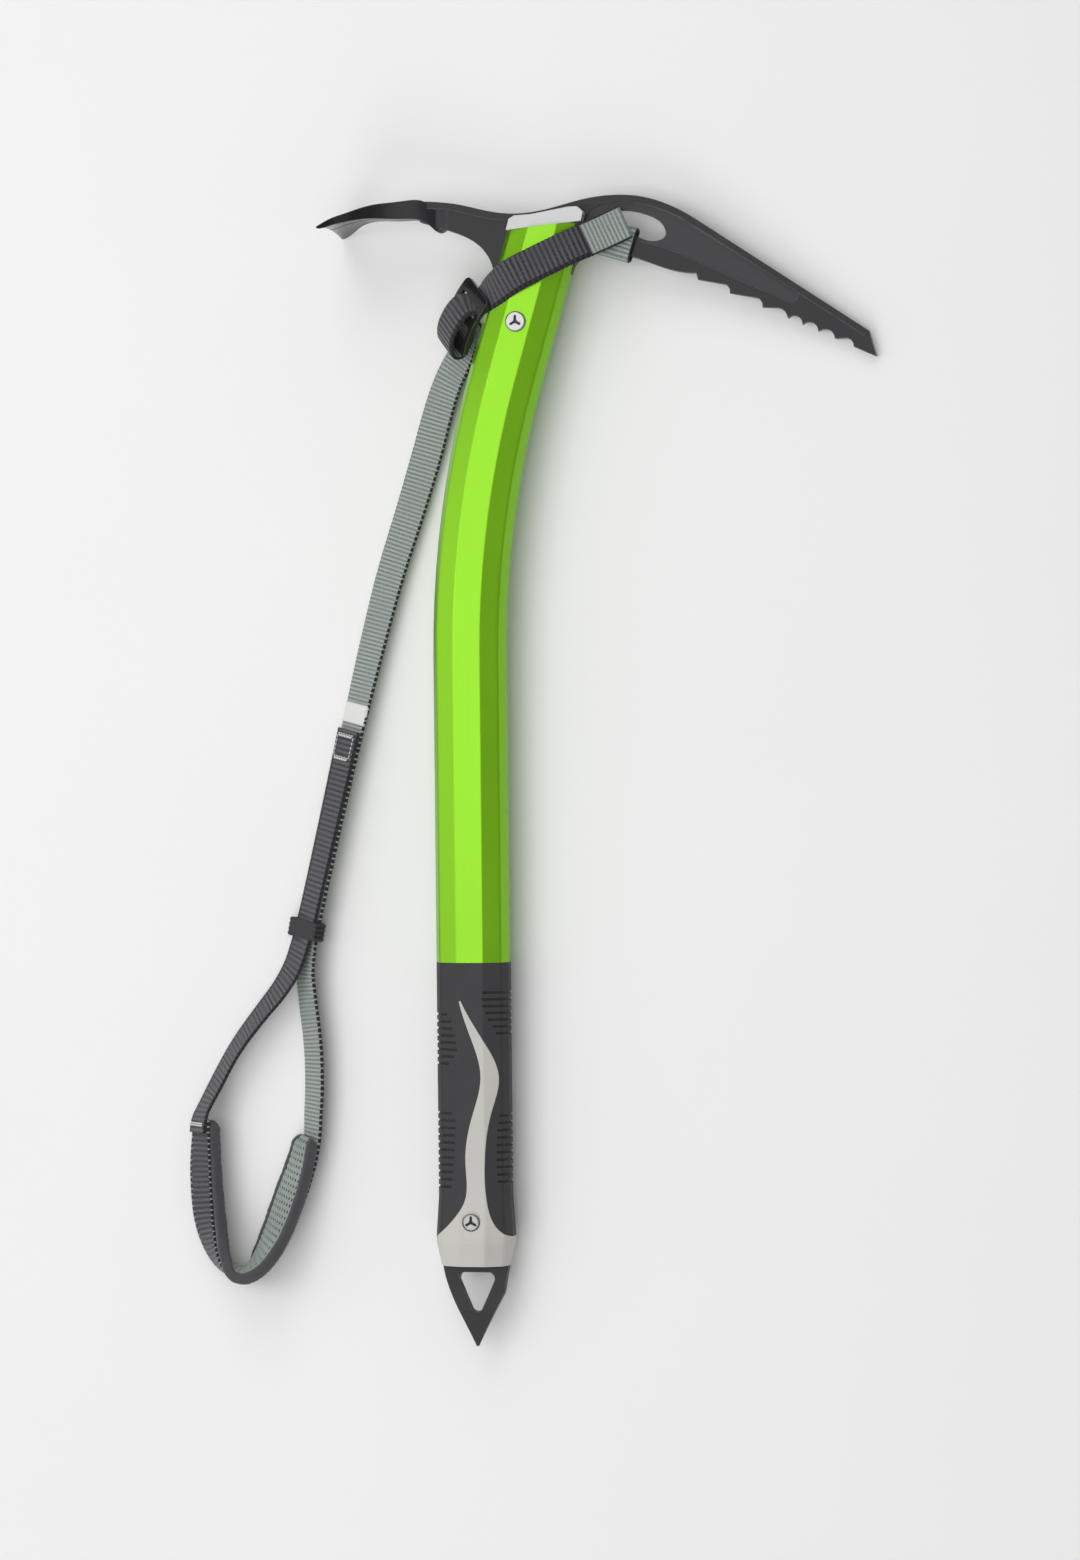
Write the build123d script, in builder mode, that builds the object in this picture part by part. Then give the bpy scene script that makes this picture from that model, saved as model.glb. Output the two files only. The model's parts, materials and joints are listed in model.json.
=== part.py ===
from build123d import *
import math
import os

# A 500 mm ice axe with a webbing leash, lying on a surface on its lower adze corner, its pick tip
# and its ferrule. +Z is up, +Y runs from the spike to the head, +X points to the pick, and the
# origin is at the middle of the axe's box, on the surface. Lengths are millimetres.
#
# The axe itself is drawn in its own plane AXE: u across, v up the shaft from the spike's tip, and
# w out of the front face.

os.makedirs("parts", exist_ok=True)

# ---------------------------------------------------------------- driving dimensions
# shaft
SHAFT_HALF_WIDTH = 16.0
SHAFT_HALF_DEPTH = 10.5
WALL = 1.7
GAP = 0.05  # between parts that touch
BEND_START = 301.0
BEND_RADIUS = 440.0
BEND_DEGREES = 16.0
SHAFT_TOP = 72.0  # length of the straight stretch above the bend, before its end is cut
SHAFT_END_LOW = 483.9  # v of the slanting end cut at u = 0
SHAFT_END_SLOPE = 0.096
NECK_HALF_WIDTH = 14.4
NECK_HALF_DEPTH = 8.9
NECK_BOTTOM = 41.0
SHOULDER = 2.0  # solid length where the shaft's tube meets its neck
# head
PLATE = 4.4
RIM = 6.4
RIM_DEPTH = 3.0
RECESS = 0.5
ADZE_HALF_WIDTH = 25.5
BOLT_AT = (23.4, 446.0)
BOLT_HEAD_RADIUS = 4.4
BOLT_BORE = 3.3
SLEEVE_RADIUS = 3.2
SCREW_RADIUS = 2.0
BOLT_HEAD = 1.4
THROUGH = 20.0  # how far a cut reaches to each side of the axe's plane
# grip, ferrule and spike
GRIP_TOP = 168.2
GRIP_FLARE = 66.0
GROOVE_DEPTH = 0.55
GROOVE_WIDTH = 1.2
# patches of grooves on the grip: side, v of the highest, pitch, and how far from the middle each begins
GRIP_PATCHES = [
    (1, 154.6, 2.95, (5.9, 5.6, 5.9, 7.1, 8.0, 9.9, 11.3)),
    (-1, 145.0, 3.05, (10.4, 8.4, 7.8, 6.9, 6.3, 5.7, 7.1, 9.6)),
    (-1, 102.0, 3.2, (8.5, 6.9, 6.9, 7.2, 7.2, 7.4, 7.6, 7.8, 8.2, 8.6, 9.2)),
    (1, 101.0, 3.2, (12.4, 11.8, 11.5, 11.2, 11.0, 11.0, 11.0, 11.0, 11.3, 11.6)),
]
FERRULE_TOP = 48.5
FERRULE_BOTTOM = 35.8
FERRULE_HALF_WIDTH = 17.1
FERRULE_HALF_DEPTH = 13.0
SPIKE_PLATE = 5.0
SPIKE_TANG_TOP = 76.0
SCREW_AT = (0.0, 55.4)
SCREW_HEAD_RADIUS = 3.7
SCREW_REACH = 11.5
# leash
WEBBING_WIDTH = 15.0
WEBBING = 1.6
LONG_Z = 2.2  # middle of the strap that lies lowest
STRAP_GAP = 0.3
SHORT_Z = LONG_Z + WEBBING + STRAP_GAP  # middle of the strap on top of it
PAD_Z = 0.4  # under the pad's lower edge
PAD_THICKNESS = 5.0
PAD_WEBBING_HEIGHT = 12.0
PAD_GAP = 0.2  # between the pad and the webbing along its outside
BINDING = 1.2
KEEPER_WALL = 1.0
KEEPER_ROOM = 0.8  # more than the straps that run through it
KEEPER_LENGTH = 8.0
THREAD = 0.4

# ---------------------------------------------------------------- the rest pose
ORIGIN_UV = (60.3, 249.8)
ADZE_BULGE = 1.2  # how far the adze's corner reaches past its end station
CLEARANCE = 0.5


def resting_plane():
    """The axe's own plane, seen from the surface that it rests on."""
    adze = Vector(-61.0, 487.0, -ADZE_HALF_WIDTH - ADZE_BULGE)
    pick = Vector(179.0, 428.0, -1.5)
    ferrule = Vector(0.0, 46.5, -FERRULE_HALF_DEPTH - CLEARANCE)
    up = (pick - ferrule).cross(adze - ferrule).normalized()
    along = (Vector(0, 1, 0) - up * up.Y).normalized()
    across = along.cross(up)
    u, v = ORIGIN_UV
    w = ferrule.Z - (up.X * (u - ferrule.X) + up.Y * (v - ferrule.Y)) / up.Z
    surface = Plane(origin=(u, v, w), x_dir=across, z_dir=up)
    return Plane(surface.location.inverse())


AXE = resting_plane()


def at(u, v, w=0.0):
    """A point of the axe's plane, in the part's frame."""
    return AXE.from_local_coords(Vector(u, v, w))


def direction(u, v, w=0.0):
    """A direction of the axe's plane, in the part's frame."""
    return (at(u, v, w) - at(0, 0, 0)).normalized()


def station(u, v, degrees=0.0):
    """A plane across the shaft at (u, v): x to the pick's side, z up a shaft that leans by degrees."""
    a = math.radians(degrees)
    return Plane(
        origin=at(u, v),
        x_dir=direction(math.cos(a), -math.sin(a)),
        z_dir=direction(math.sin(a), math.cos(a)),
    )


LEAN_SIN = math.sin(math.radians(BEND_DEGREES))
LEAN_COS = math.cos(math.radians(BEND_DEGREES))
BEND_END = (BEND_RADIUS * (1 - LEAN_COS), BEND_START + BEND_RADIUS * LEAN_SIN)


def along_top(s, q=0.0):
    """(u, v) at s up the straight top of the shaft from the bend's end, and q across it."""
    return (
        BEND_END[0] + s * LEAN_SIN + q * LEAN_COS,
        BEND_END[1] + s * LEAN_COS - q * LEAN_SIN,
    )


# ---------------------------------------------------------------- shared profiles
def facets(half_width, half_depth, corner):
    """The shaft's flat-faced oval."""
    quarter = [(0.36 * half_width, half_depth), (0.85 * half_width, 0.72 * half_depth),
               (half_width, 0.3 * half_depth)]
    right = quarter + [(x, -y) for x, y in reversed(quarter)]
    left = [(-x, -y) for x, y in right]
    with BuildSketch() as oval:
        with BuildLine():
            Polyline(*right, *left, close=True)
        make_face()
        fillet(oval.vertices(), radius=corner)
    return oval.sketch


SHAFT_OUTSIDE = facets(SHAFT_HALF_WIDTH, SHAFT_HALF_DEPTH, 2.0)
SHAFT_INSIDE = facets(SHAFT_HALF_WIDTH - WALL, SHAFT_HALF_DEPTH - WALL, 1.2)
INSERT_OUTSIDE = facets(SHAFT_HALF_WIDTH - WALL - 0.15, SHAFT_HALF_DEPTH - WALL - 0.15, 1.0)
NECK_OUTSIDE = facets(NECK_HALF_WIDTH, NECK_HALF_DEPTH, 1.6)
NECK_INSIDE = facets(NECK_HALF_WIDTH - WALL, NECK_HALF_DEPTH - WALL, 1.0)


TOP_EDGE = [(-20, 499.9), (-2, 497.9), (10, 494.9), (22.6, 493.4), (36.8, 495.1), (52, 498.8),
            (66, 500.3), (80, 498.8), (94, 493.4), (106.9, 485.3)]
PICK_END = (175.8, 439.2)
PICK_TIP = (179.0, 428.0)
FIRST_TOOTH = (102.1, 462.8)
# each gullet: its length along the teeth, how far along its flat runs, and its depth
GULLETS = [(15.1, 0.76, 2.7), (15.5, 0.74, 2.8), (12.1, 0.53, 2.5), (6.9, 0.0, 2.4),
           (7.5, 0.0, 2.4), (7.8, 0.0, 2.4), (8.9, 0.53, 2.3)]


def teeth():
    """The pick's lower edge from its tip back to its first tooth, as edges."""
    down = (Vector(*PICK_TIP) - Vector(*FIRST_TOOTH)).normalized()
    into = Vector(-down.Y, down.X)
    crest = Vector(*FIRST_TOOTH)
    edges = []
    for pitch, flat, depth in GULLETS:
        after = crest + down * pitch
        if flat:
            knee = crest + down * (flat * pitch) + into * depth
            edges.append(Edge.make_line(crest, knee))
            steep = crest + down * ((0.35 * flat + 0.65) * pitch) + into * (0.78 * depth)
            edges.append(Edge.make_three_point_arc(knee, steep, after))
        else:
            hollow = crest + down * (0.45 * pitch) + into * depth
            edges.append(Edge.make_three_point_arc(crest, hollow, after))
        crest = after
    return edges + [Edge.make_line(crest, Vector(*PICK_TIP))]


PICK_RUN = (Vector(*PICK_END) - Vector(*TOP_EDGE[-1])).normalized()

# the head's plate without its tang: top edge, pick, teeth and underside
with BuildSketch() as plate:
    with BuildLine():
        Spline(*TOP_EDGE, tangents=[(1, -0.05), PICK_RUN])
        Line(TOP_EDGE[-1], PICK_END)
        Line(PICK_END, PICK_TIP)
        add(teeth())
        Line(FIRST_TOOTH, (101.4, 465.8))
        Spline((101.4, 465.8), (89.2, 467.7), (75.3, 472.8), (60.4, 475.6), (52, 474.0), (46.6, 466.5))
        Polyline((46.6, 466.5), (13.0, 455.5), (10.9, 459.5))
        Spline((10.9, 459.5), (12.4, 468.4), (8.3, 477.7), (-5.9, 486.4), (-20, 490.9))
        Line((-20, 490.9), (-20, 499.9))
    make_face()

# the rim that stands proud along its top edge
with BuildSketch() as rim:
    low_edge = [(u - 0.5, v - RIM_DEPTH) for u, v in TOP_EDGE]
    low_end = (PICK_END[0] - 1.2, PICK_END[1] - RIM_DEPTH + 0.4)
    with BuildLine():
        Spline(*TOP_EDGE, tangents=[(1, -0.05), PICK_RUN])
        Line(TOP_EDGE[-1], PICK_END)
        Line(PICK_END, low_end)
        Line(low_end, low_edge[-1])
        Spline(*reversed(low_edge), tangents=[-PICK_RUN, (-1, 0.05)])
        Line(low_edge[0], TOP_EDGE[0])
    make_face()

# what lies above the shaft's slanting end
with BuildSketch() as above_end:
    with BuildLine():
        Polyline((-20, SHAFT_END_LOW - 20 * SHAFT_END_SLOPE), (80, SHAFT_END_LOW + 80 * SHAFT_END_SLOPE),
                 (80, 530), (-20, 530), close=True)
    make_face()


def shaft_spine(start, margin=0.0):
    """The middle line of the shaft from v = start to its top."""
    with BuildLine(AXE) as spine:
        straight = Line((0, start), (0, BEND_START))
        bend = JernArc(straight @ 1, AXE.y_dir, BEND_RADIUS, -BEND_DEGREES)
        Line(bend @ 1, bend @ 1 + (bend % 1) * (SHAFT_TOP + margin))
    return spine.line


SHAFT_SPINE = shaft_spine(GRIP_TOP)
BORE_SPINE = shaft_spine(GRIP_TOP + SHOULDER, 1.0)


# ---------------------------------------------------------------- head
# stations along the adze: u, half width, underside v, top v
ADZE = [(-61.2, 25.5, 487.3, 488.0), (-57.5, 22.8, 487.8, 490.6), (-53.5, 18.6, 489.6, 493.0),
        (-49.0, 12.4, 491.3, 495.4), (-44.5, 8.8, 492.3, 497.4), (-38.0, 6.4, 492.6, 499.0),
        (-28.0, 4.8, 492.2, 500.0), (-18.0, 3.5, 491.0, 499.8), (-8.0, 2.3, 488.0, 498.7)]


def adze_section(u, half, low, top):
    """A curved band across the adze, hollow below, at one station."""
    dome = 0.09 * max(half - 4.0, 0.1)
    plane = Plane(origin=at(u, 0, 0), x_dir=AXE.z_dir, z_dir=-AXE.x_dir)
    with BuildSketch(plane) as band:
        with BuildLine():
            ThreePointArc((-half, low), (0, low + dome), (half, low))
            Line((half, low), (half, top))
            ThreePointArc((half, top), (0, top + dome), (-half, top))
            Line((-half, top), (-half, low))
        make_face()
    return band.sketch


adze_sections = [adze_section(*row) for row in ADZE]

with BuildPart() as head:
    with BuildSketch(AXE):
        add(plate.sketch)
    extrude(amount=PLATE / 2, both=True)
    with BuildSketch(AXE):
        with BuildLine():
            Polyline(along_top(62, -13.6), along_top(62, 13.6), along_top(44, 13.6),
                     along_top(9, 10.0), along_top(9, -10.0), along_top(36, -13.6), close=True)
        make_face()
    extrude(amount=PLATE / 2, both=True)
    with BuildSketch(AXE):
        add(rim.sketch)
    extrude(amount=RIM / 2, both=True)
    # the adze runs out of the rim and widens into a scoop
    loft(sections=adze_sections)
    # the eye
    with BuildSketch(AXE):
        with BuildLine():
            Spline((57.4, 489.6), (62, 492.3), (71.3, 493.5), (80.7, 491.1), (87.6, 485.6), (88.0, 482.2),
                   (84.3, 480.1), (73.3, 483.4), (61, 487.4), periodic=True)
        make_face()
    extrude(amount=RIM, both=True, mode=Mode.SUBTRACT)
    # shallow panels pressed into both faces, around the eye and along the pick
    for side in (1, -1):
        with BuildSketch(AXE.offset(side * PLATE / 2)):
            with BuildLine():
                Spline((53.2, 488.0), (54.8, 493.6), (60, 496.3), (70.7, 497.1), (84.9, 494.0), (99.0, 486.6))
                Line((99.0, 486.6), (142.2, 458.8))
                ThreePointArc((142.2, 458.8), (145.4, 454.1), (140.2, 452.8))
                Line((140.2, 452.8), (102.7, 469.9))
                Spline((102.7, 469.9), (87.6, 476.8), (70.9, 481.2), (57, 484.6), (53.2, 488.0))
            make_face()
        extrude(amount=-side * RECESS, mode=Mode.SUBTRACT)
    with BuildSketch(AXE.offset(-THROUGH)):
        with Locations(BOLT_AT):
            Circle(BOLT_BORE)
    extrude(amount=2 * THROUGH, mode=Mode.SUBTRACT)
head.part.label = "head"

# ---------------------------------------------------------------- shaft
with BuildPart() as shaft:
    with BuildSketch(station(0, GRIP_TOP)):
        add(SHAFT_OUTSIDE)
    sweep(path=SHAFT_SPINE)
    with BuildSketch(station(0, GRIP_TOP + SHOULDER)):
        add(SHAFT_INSIDE)
    sweep(path=BORE_SPINE, mode=Mode.SUBTRACT)
    with BuildSketch(station(0, NECK_BOTTOM)):
        add(NECK_OUTSIDE)
    extrude(amount=GRIP_TOP + SHOULDER / 2 - NECK_BOTTOM)
    with BuildSketch(station(0, NECK_BOTTOM)):
        add(NECK_INSIDE)
    extrude(amount=GRIP_TOP + 1.5 * SHOULDER - NECK_BOTTOM, mode=Mode.SUBTRACT)
    with BuildSketch(AXE):
        add(above_end.sketch)
    extrude(amount=THROUGH, both=True, mode=Mode.SUBTRACT)
    with BuildSketch(AXE):
        add(plate.sketch)
    extrude(amount=PLATE / 2 + GAP, both=True, mode=Mode.SUBTRACT)
    with BuildSketch(AXE.offset(-THROUGH)):
        with Locations(BOLT_AT):
            Circle(BOLT_BORE)
        with Locations(SCREW_AT):
            Circle(BOLT_BORE)
    extrude(amount=2 * THROUGH, mode=Mode.SUBTRACT)
shaft.part.label = "shaft"


# ---------------------------------------------------------------- head inserts
def head_insert(side):
    """Half of the plug between the head's tang and the shaft, with the cap that shows above it."""
    with BuildPart() as insert:
        with BuildSketch(station(*along_top(12), BEND_DEGREES)):
            add(INSERT_OUTSIDE)
        extrude(amount=SHAFT_TOP)
        with BuildSketch(AXE):
            add(above_end.sketch)
        extrude(amount=THROUGH, both=True, mode=Mode.SUBTRACT)
        with BuildSketch(AXE) as cap:
            with BuildLine():
                Polyline((19.3, 485.8), (20.6, 490.6), (23, 492.0), (30, 492.3), (46.6, 495.1),
                         (50.6, 495.2), (53.2, 492.9), (52.2, 488.9), close=True)
            make_face()
            fillet(cap.vertices().sort_by(Axis.Y)[2:], radius=0.8)
        extrude(amount=side * 9.4)
        split(bisect_by=AXE.offset(side * PLATE / 2), keep=Keep.TOP if side > 0 else Keep.BOTTOM)
        with BuildSketch(AXE):
            add(rim.sketch)
        extrude(amount=RIM / 2, both=True, mode=Mode.SUBTRACT)
        with BuildSketch(AXE.offset(-THROUGH)):
            with Locations(BOLT_AT):
                Circle(BOLT_BORE)
        extrude(amount=2 * THROUGH, mode=Mode.SUBTRACT)
    return insert.part


head_insert_front = head_insert(1)
head_insert_front.label = "head_insert_front"
head_insert_back = head_insert(-1)
head_insert_back.label = "head_insert_back"


# ---------------------------------------------------------------- bolts
def sleeve(center, reach, head_radius):
    """A sleeve nut that comes in from the back: flat head outside, barrel inside."""
    with BuildPart() as nut:
        with BuildSketch(AXE.offset(-reach)):
            with Locations(center):
                Circle(head_radius)
        extrude(amount=-BOLT_HEAD)
        chamfer(nut.edges().group_by(SortBy.LENGTH)[-1].sort_by(Axis.Z)[0], length=0.5)
        with BuildSketch(AXE.offset(-reach)):
            with Locations(center):
                Circle(SLEEVE_RADIUS)
        extrude(amount=2 * (reach - GAP))
        with BuildSketch(AXE.offset(-reach + 1.5)):
            with Locations(center):
                Circle(SCREW_RADIUS + 0.15)
        extrude(amount=2 * reach, mode=Mode.SUBTRACT)
    return nut.part


def bolt(center, reach, head_radius, lobes):
    """A screw that comes in from the front, with a three-lobed recess in its head."""
    with BuildPart() as screw:
        with BuildSketch(AXE.offset(reach)):
            with Locations(center):
                Circle(head_radius)
        extrude(amount=BOLT_HEAD)
        chamfer(screw.edges().group_by(SortBy.LENGTH)[-1].sort_by(Axis.Z)[-1], length=0.5)
        with BuildSketch(AXE.offset(reach)):
            with Locations(center):
                Circle(SCREW_RADIUS)
        extrude(amount=-(2 * reach - 4.0))
        with BuildSketch(AXE.offset(reach + BOLT_HEAD)):
            with Locations(center):
                Circle(0.9)
                with PolarLocations(1.6, lobes, start_angle=90):
                    SlotCenterToCenter(1.2, 1.1)
        extrude(amount=-0.9, mode=Mode.SUBTRACT)
    return screw.part


head_sleeve = sleeve(BOLT_AT, SHAFT_HALF_DEPTH, BOLT_HEAD_RADIUS)
head_sleeve.label = "head_sleeve"
head_bolt = bolt(BOLT_AT, SHAFT_HALF_DEPTH, BOLT_HEAD_RADIUS, 3)
head_bolt.label = "head_bolt"


# ---------------------------------------------------------------- grip and ferrule
GRIP_OUTSIDE = facets(SHAFT_HALF_WIDTH, SHAFT_HALF_DEPTH, 2.4)
GRIP_CORE = facets(SHAFT_HALF_WIDTH - GROOVE_DEPTH, SHAFT_HALF_DEPTH - GROOVE_DEPTH, 2.2)
FLARE_OUTSIDE = facets(FERRULE_HALF_WIDTH, FERRULE_HALF_DEPTH, 3.2)
FERRULE_END = facets(FERRULE_HALF_WIDTH - 2.2, FERRULE_HALF_DEPTH - 2.4, 3.0)

# the long curved tongue of the ferrule that shows through the grip
with BuildSketch() as tongue:
    with BuildLine():
        Spline((-4.8, 151.4), (0.2, 135.7), (4.5, 118.5), (0.7, 101.8), (-2.6, 81.3), (-3.1, 64.3),
               (-8.0, 56.6), (-17.5, FERRULE_TOP - 0.5))
        Line((-17.5, FERRULE_TOP - 0.5), (19.5, FERRULE_TOP - 0.5))
        Spline((19.5, FERRULE_TOP - 0.5), (10.4, 53.6), (6.6, 65.0), (6.0, 82.4), (8.8, 102.4),
               (12.2, 118.0), (5.3, 135.1), (-4.0, 151.6))
        Line((-4.0, 151.6), (-4.8, 151.4))
    make_face()

with BuildPart() as grip_shell:
    with BuildSketch(station(0, GRIP_FLARE)):
        add(GRIP_OUTSIDE)
    extrude(amount=GRIP_TOP - GRIP_FLARE)
    loft(sections=[station(0, FERRULE_TOP) * FLARE_OUTSIDE, station(0, GRIP_FLARE) * GRIP_OUTSIDE])
    with BuildSketch(station(0, FERRULE_TOP)):
        add(NECK_OUTSIDE)
    extrude(amount=GRIP_TOP, mode=Mode.SUBTRACT)


def grip_groove(side, inner):
    """The section that one groove takes off the grip, from inner round the edge on one side."""
    with BuildSketch() as groove:
        add(GRIP_OUTSIDE)
        add(GRIP_CORE, mode=Mode.SUBTRACT)
        with Locations((side * (inner - THROUGH), 0)):
            Rectangle(2 * THROUGH, 2 * THROUGH, mode=Mode.SUBTRACT)
    return groove.sketch


with BuildPart() as grip_sleeve:
    add(grip_shell.part)
    for side, highest, pitch, inners in GRIP_PATCHES:
        for k, inner in enumerate(inners):
            with BuildSketch(station(0, highest - k * pitch)):
                add(grip_groove(side, inner))
            extrude(amount=GROOVE_WIDTH, mode=Mode.SUBTRACT)
    with BuildSketch(AXE):
        add(tongue.sketch)
    extrude(amount=THROUGH, both=True, mode=Mode.SUBTRACT)
grip_sleeve.part.label = "grip_sleeve"

SPIKE_SLOT = 24.2

with BuildPart() as ferrule:
    add(grip_shell.part)
    with BuildSketch(AXE):
        add(tongue.sketch)
    extrude(amount=THROUGH, both=True, mode=Mode.INTERSECT)
    with BuildSketch(station(0, FERRULE_TOP - 2.5)):
        add(FLARE_OUTSIDE)
    extrude(amount=2.5)
    loft(sections=[station(0, FERRULE_BOTTOM) * FERRULE_END, station(0, FERRULE_TOP - 2.5) * FLARE_OUTSIDE])
    with BuildSketch(station(0, NECK_BOTTOM)):
        add(NECK_OUTSIDE)
    extrude(amount=GRIP_TOP, mode=Mode.SUBTRACT)
    with BuildSketch(station(0, FERRULE_BOTTOM - 1)):
        Rectangle(SPIKE_SLOT, SPIKE_PLATE + 2 * GAP)
    extrude(amount=NECK_BOTTOM, mode=Mode.SUBTRACT)
    with BuildSketch(AXE.offset(-THROUGH)):
        with Locations(SCREW_AT):
            Circle(BOLT_BORE)
    extrude(amount=2 * THROUGH, mode=Mode.SUBTRACT)
    for side in (1, -1):
        with BuildSketch(AXE.offset(side * SCREW_REACH)):
            with Locations(SCREW_AT):
                Circle(SCREW_HEAD_RADIUS + 0.3)
        extrude(amount=side * 5, mode=Mode.SUBTRACT)
ferrule.part.label = "ferrule"

# ---------------------------------------------------------------- spike
with BuildPart() as spike:
    with BuildSketch(AXE) as blade:
        with BuildLine():
            Spline((-14.5, FERRULE_BOTTOM), (-12.9, 28.6), (-9.9, 20.6), (-6.2, 12.6), (-0.5, 0.6))
            ThreePointArc((-0.5, 0.6), (0.2, 0), (0.9, 0.6))
            Spline((0.9, 0.6), (8.3, 15.8), (12.3, 23.2))
            Line((12.3, 23.2), (14.6, FERRULE_BOTTOM))
            Polyline((14.6, FERRULE_BOTTOM), (12.0, FERRULE_BOTTOM), (12.0, SPIKE_TANG_TOP - 3),
                     (9.0, SPIKE_TANG_TOP), (-9.0, SPIKE_TANG_TOP), (-12.0, SPIKE_TANG_TOP - 3),
                     (-12.0, FERRULE_BOTTOM), (-14.5, FERRULE_BOTTOM))
        make_face()
    extrude(amount=SPIKE_PLATE / 2, both=True)
    # the faces close in towards the tip
    with BuildSketch(Plane(origin=at(0, 0), x_dir=AXE.z_dir, z_dir=-AXE.x_dir)):
        with BuildLine():
            half = SPIKE_PLATE / 2
            Polyline((-0.5, -1), (-half, 17), (-half, 90), (half, 90), (half, 17), (0.5, -1), close=True)
        make_face()
    extrude(amount=THROUGH, both=True, mode=Mode.INTERSECT)
    with BuildSketch(AXE) as eye:
        with BuildLine():
            Polyline((-8.9, 32.6), (9.9, 32.6), (0.2, 11.0), close=True)
        make_face()
        fillet(eye.vertices(), radius=2.8)
    extrude(amount=SPIKE_PLATE, both=True, mode=Mode.SUBTRACT)
    with BuildSketch(AXE):
        with Locations(SCREW_AT):
            Circle(BOLT_BORE)
    extrude(amount=SPIKE_PLATE, both=True, mode=Mode.SUBTRACT)
spike.part.label = "spike"


def spike_wedge(side):
    """Half of the plug that holds the spike's tang in the shaft's neck."""
    with BuildPart() as wedge:
        with BuildSketch(station(0, NECK_BOTTOM)):
            add(NECK_INSIDE)
        extrude(amount=SPIKE_TANG_TOP - 4 - NECK_BOTTOM)
        split(bisect_by=AXE.offset(side * SPIKE_PLATE / 2), keep=Keep.TOP if side > 0 else Keep.BOTTOM)
        with BuildSketch(AXE.offset(-THROUGH)):
            with Locations(SCREW_AT):
                Circle(BOLT_BORE)
        extrude(amount=2 * THROUGH, mode=Mode.SUBTRACT)
    return wedge.part


spike_wedge_front = spike_wedge(1)
spike_wedge_front.label = "spike_wedge_front"
spike_wedge_back = spike_wedge(-1)
spike_wedge_back.label = "spike_wedge_back"
spike_sleeve = sleeve(SCREW_AT, SCREW_REACH, SCREW_HEAD_RADIUS)
spike_sleeve.label = "spike_sleeve"
spike_screw = bolt(SCREW_AT, SCREW_REACH, SCREW_HEAD_RADIUS, 3)
spike_screw.label = "spike_screw"

# ---------------------------------------------------------------- leash: routes on the surface
# middle lines, as corners that tangent arcs round off
LONG_ROUTE = [(-66.5, 183), (-74.5, 168), (-81, 143), (-90.5, 116), (-100, 88), (-107.5, 60),
              (-113.5, 36), (-119.5, 11), (-140.5, -82), (-138.5, -101), (-136, -119.5),
              (-135.8, -138), (-138.5, -155.5)]
SHORT_ROUTE = [(-186.5, -148.5), (-181.5, -137), (-172.5, -121), (-161, -107), (-149, -94.5),
               (-140, -79.8), (-117.5, 19.9)]
PAD_ROUTE = [(-187.5, -153), (-188, -167), (-187, -184), (-184.5, -199), (-179, -213),
             (-170, -219.5), (-160.5, -214), (-153, -202), (-146.5, -186), (-141.5, -171), (-139, -160)]
# along the pad: share of its length, degrees that its upper edge leans to the left, and width
PAD_STATIONS = [(0.0, 34, 15.0), (0.08, 43, 16.0), (0.16, 49, 17.4), (0.24, 50, 18.8), (0.32, 45, 20.0),
                (0.38, 36, 20.7), (0.43, 24, 21.2), (0.475, 11, 21.5), (0.52, -2, 21.6), (0.565, -13, 21.5),
                (0.61, -25, 21.3), (0.66, -36, 20.9), (0.72, -46, 20.3), (0.79, -53, 19.0), (0.86, -54, 17.4),
                (0.93, -51, 16.0), (1.0, -46, 15.0)]
HEAD_ROUTE = [(0, 5.9), (8, 7.6), (16, 11.8), (26, 13.6), (37, 13.6), (46, 12.6), (52, 10.8)]


def corner_radii(points):
    """The largest tangent arc that each corner's two runs leave room for."""
    corners = [Vector(*p) for p in points]
    radii = []
    for before, corner, after in zip(corners, corners[1:], corners[2:]):
        turn = math.radians((corner - before).get_angle(after - corner))
        run = min((corner - before).length, (after - corner).length)
        radii.append(0.45 * run / math.tan(turn / 2))
    return radii


def rounded(points, plane=Plane.XY):
    """A route's middle line on a plane."""
    with BuildLine(plane) as line:
        FilletPolyline(*points, radius=corner_radii(points))
    return line.wire()


def ribbon(name, path):
    """Flat webbing swept along a level path."""
    along = path % 0
    plane = Plane(origin=path @ 0, x_dir=Vector(0, 0, 1).cross(along), z_dir=along)
    with BuildPart() as band:
        with BuildSketch(plane):
            Rectangle(WEBBING_WIDTH, WEBBING)
        sweep(path=path)
    band.part.label = name
    return band.part


long_strap = ribbon("long_strap", rounded(LONG_ROUTE, Plane.XY.offset(LONG_Z)))
wrist_strap = ribbon("wrist_strap", rounded(SHORT_ROUTE, Plane.XY.offset(SHORT_Z)))
pad_path = rounded(PAD_ROUTE)


def pad_band(name, thickness, tall, beside=0.0, side=0):
    """A leaning band along the pad, tall or as high as the binding leaves room for.

    It lies beside the pad's middle, to the left, and on its upper or lower edge for side 1 or -1.
    """
    sections = []
    for along, lean, width in PAD_STATIONS:
        a = math.radians(lean)
        forward = pad_path % along
        left = Vector(0, 0, 1).cross(forward)
        up = Vector(0, 0, math.cos(a)) + left * math.sin(a)
        rise = (width * math.cos(a) + (PAD_THICKNESS + WEBBING) * abs(math.sin(a))) / 2
        middle = pad_path @ along + Vector(0, 0, PAD_Z + rise)
        height = tall or width - 2 * BINDING
        with BuildSketch(Plane(origin=middle, x_dir=up.cross(forward), z_dir=forward)) as section:
            with Locations((beside, side * (width - height) / 2)):
                Rectangle(thickness, height)
        sections.append(section.sketch)
    band = loft(sections=sections, ruled=True)
    band.label = name
    return band


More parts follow.
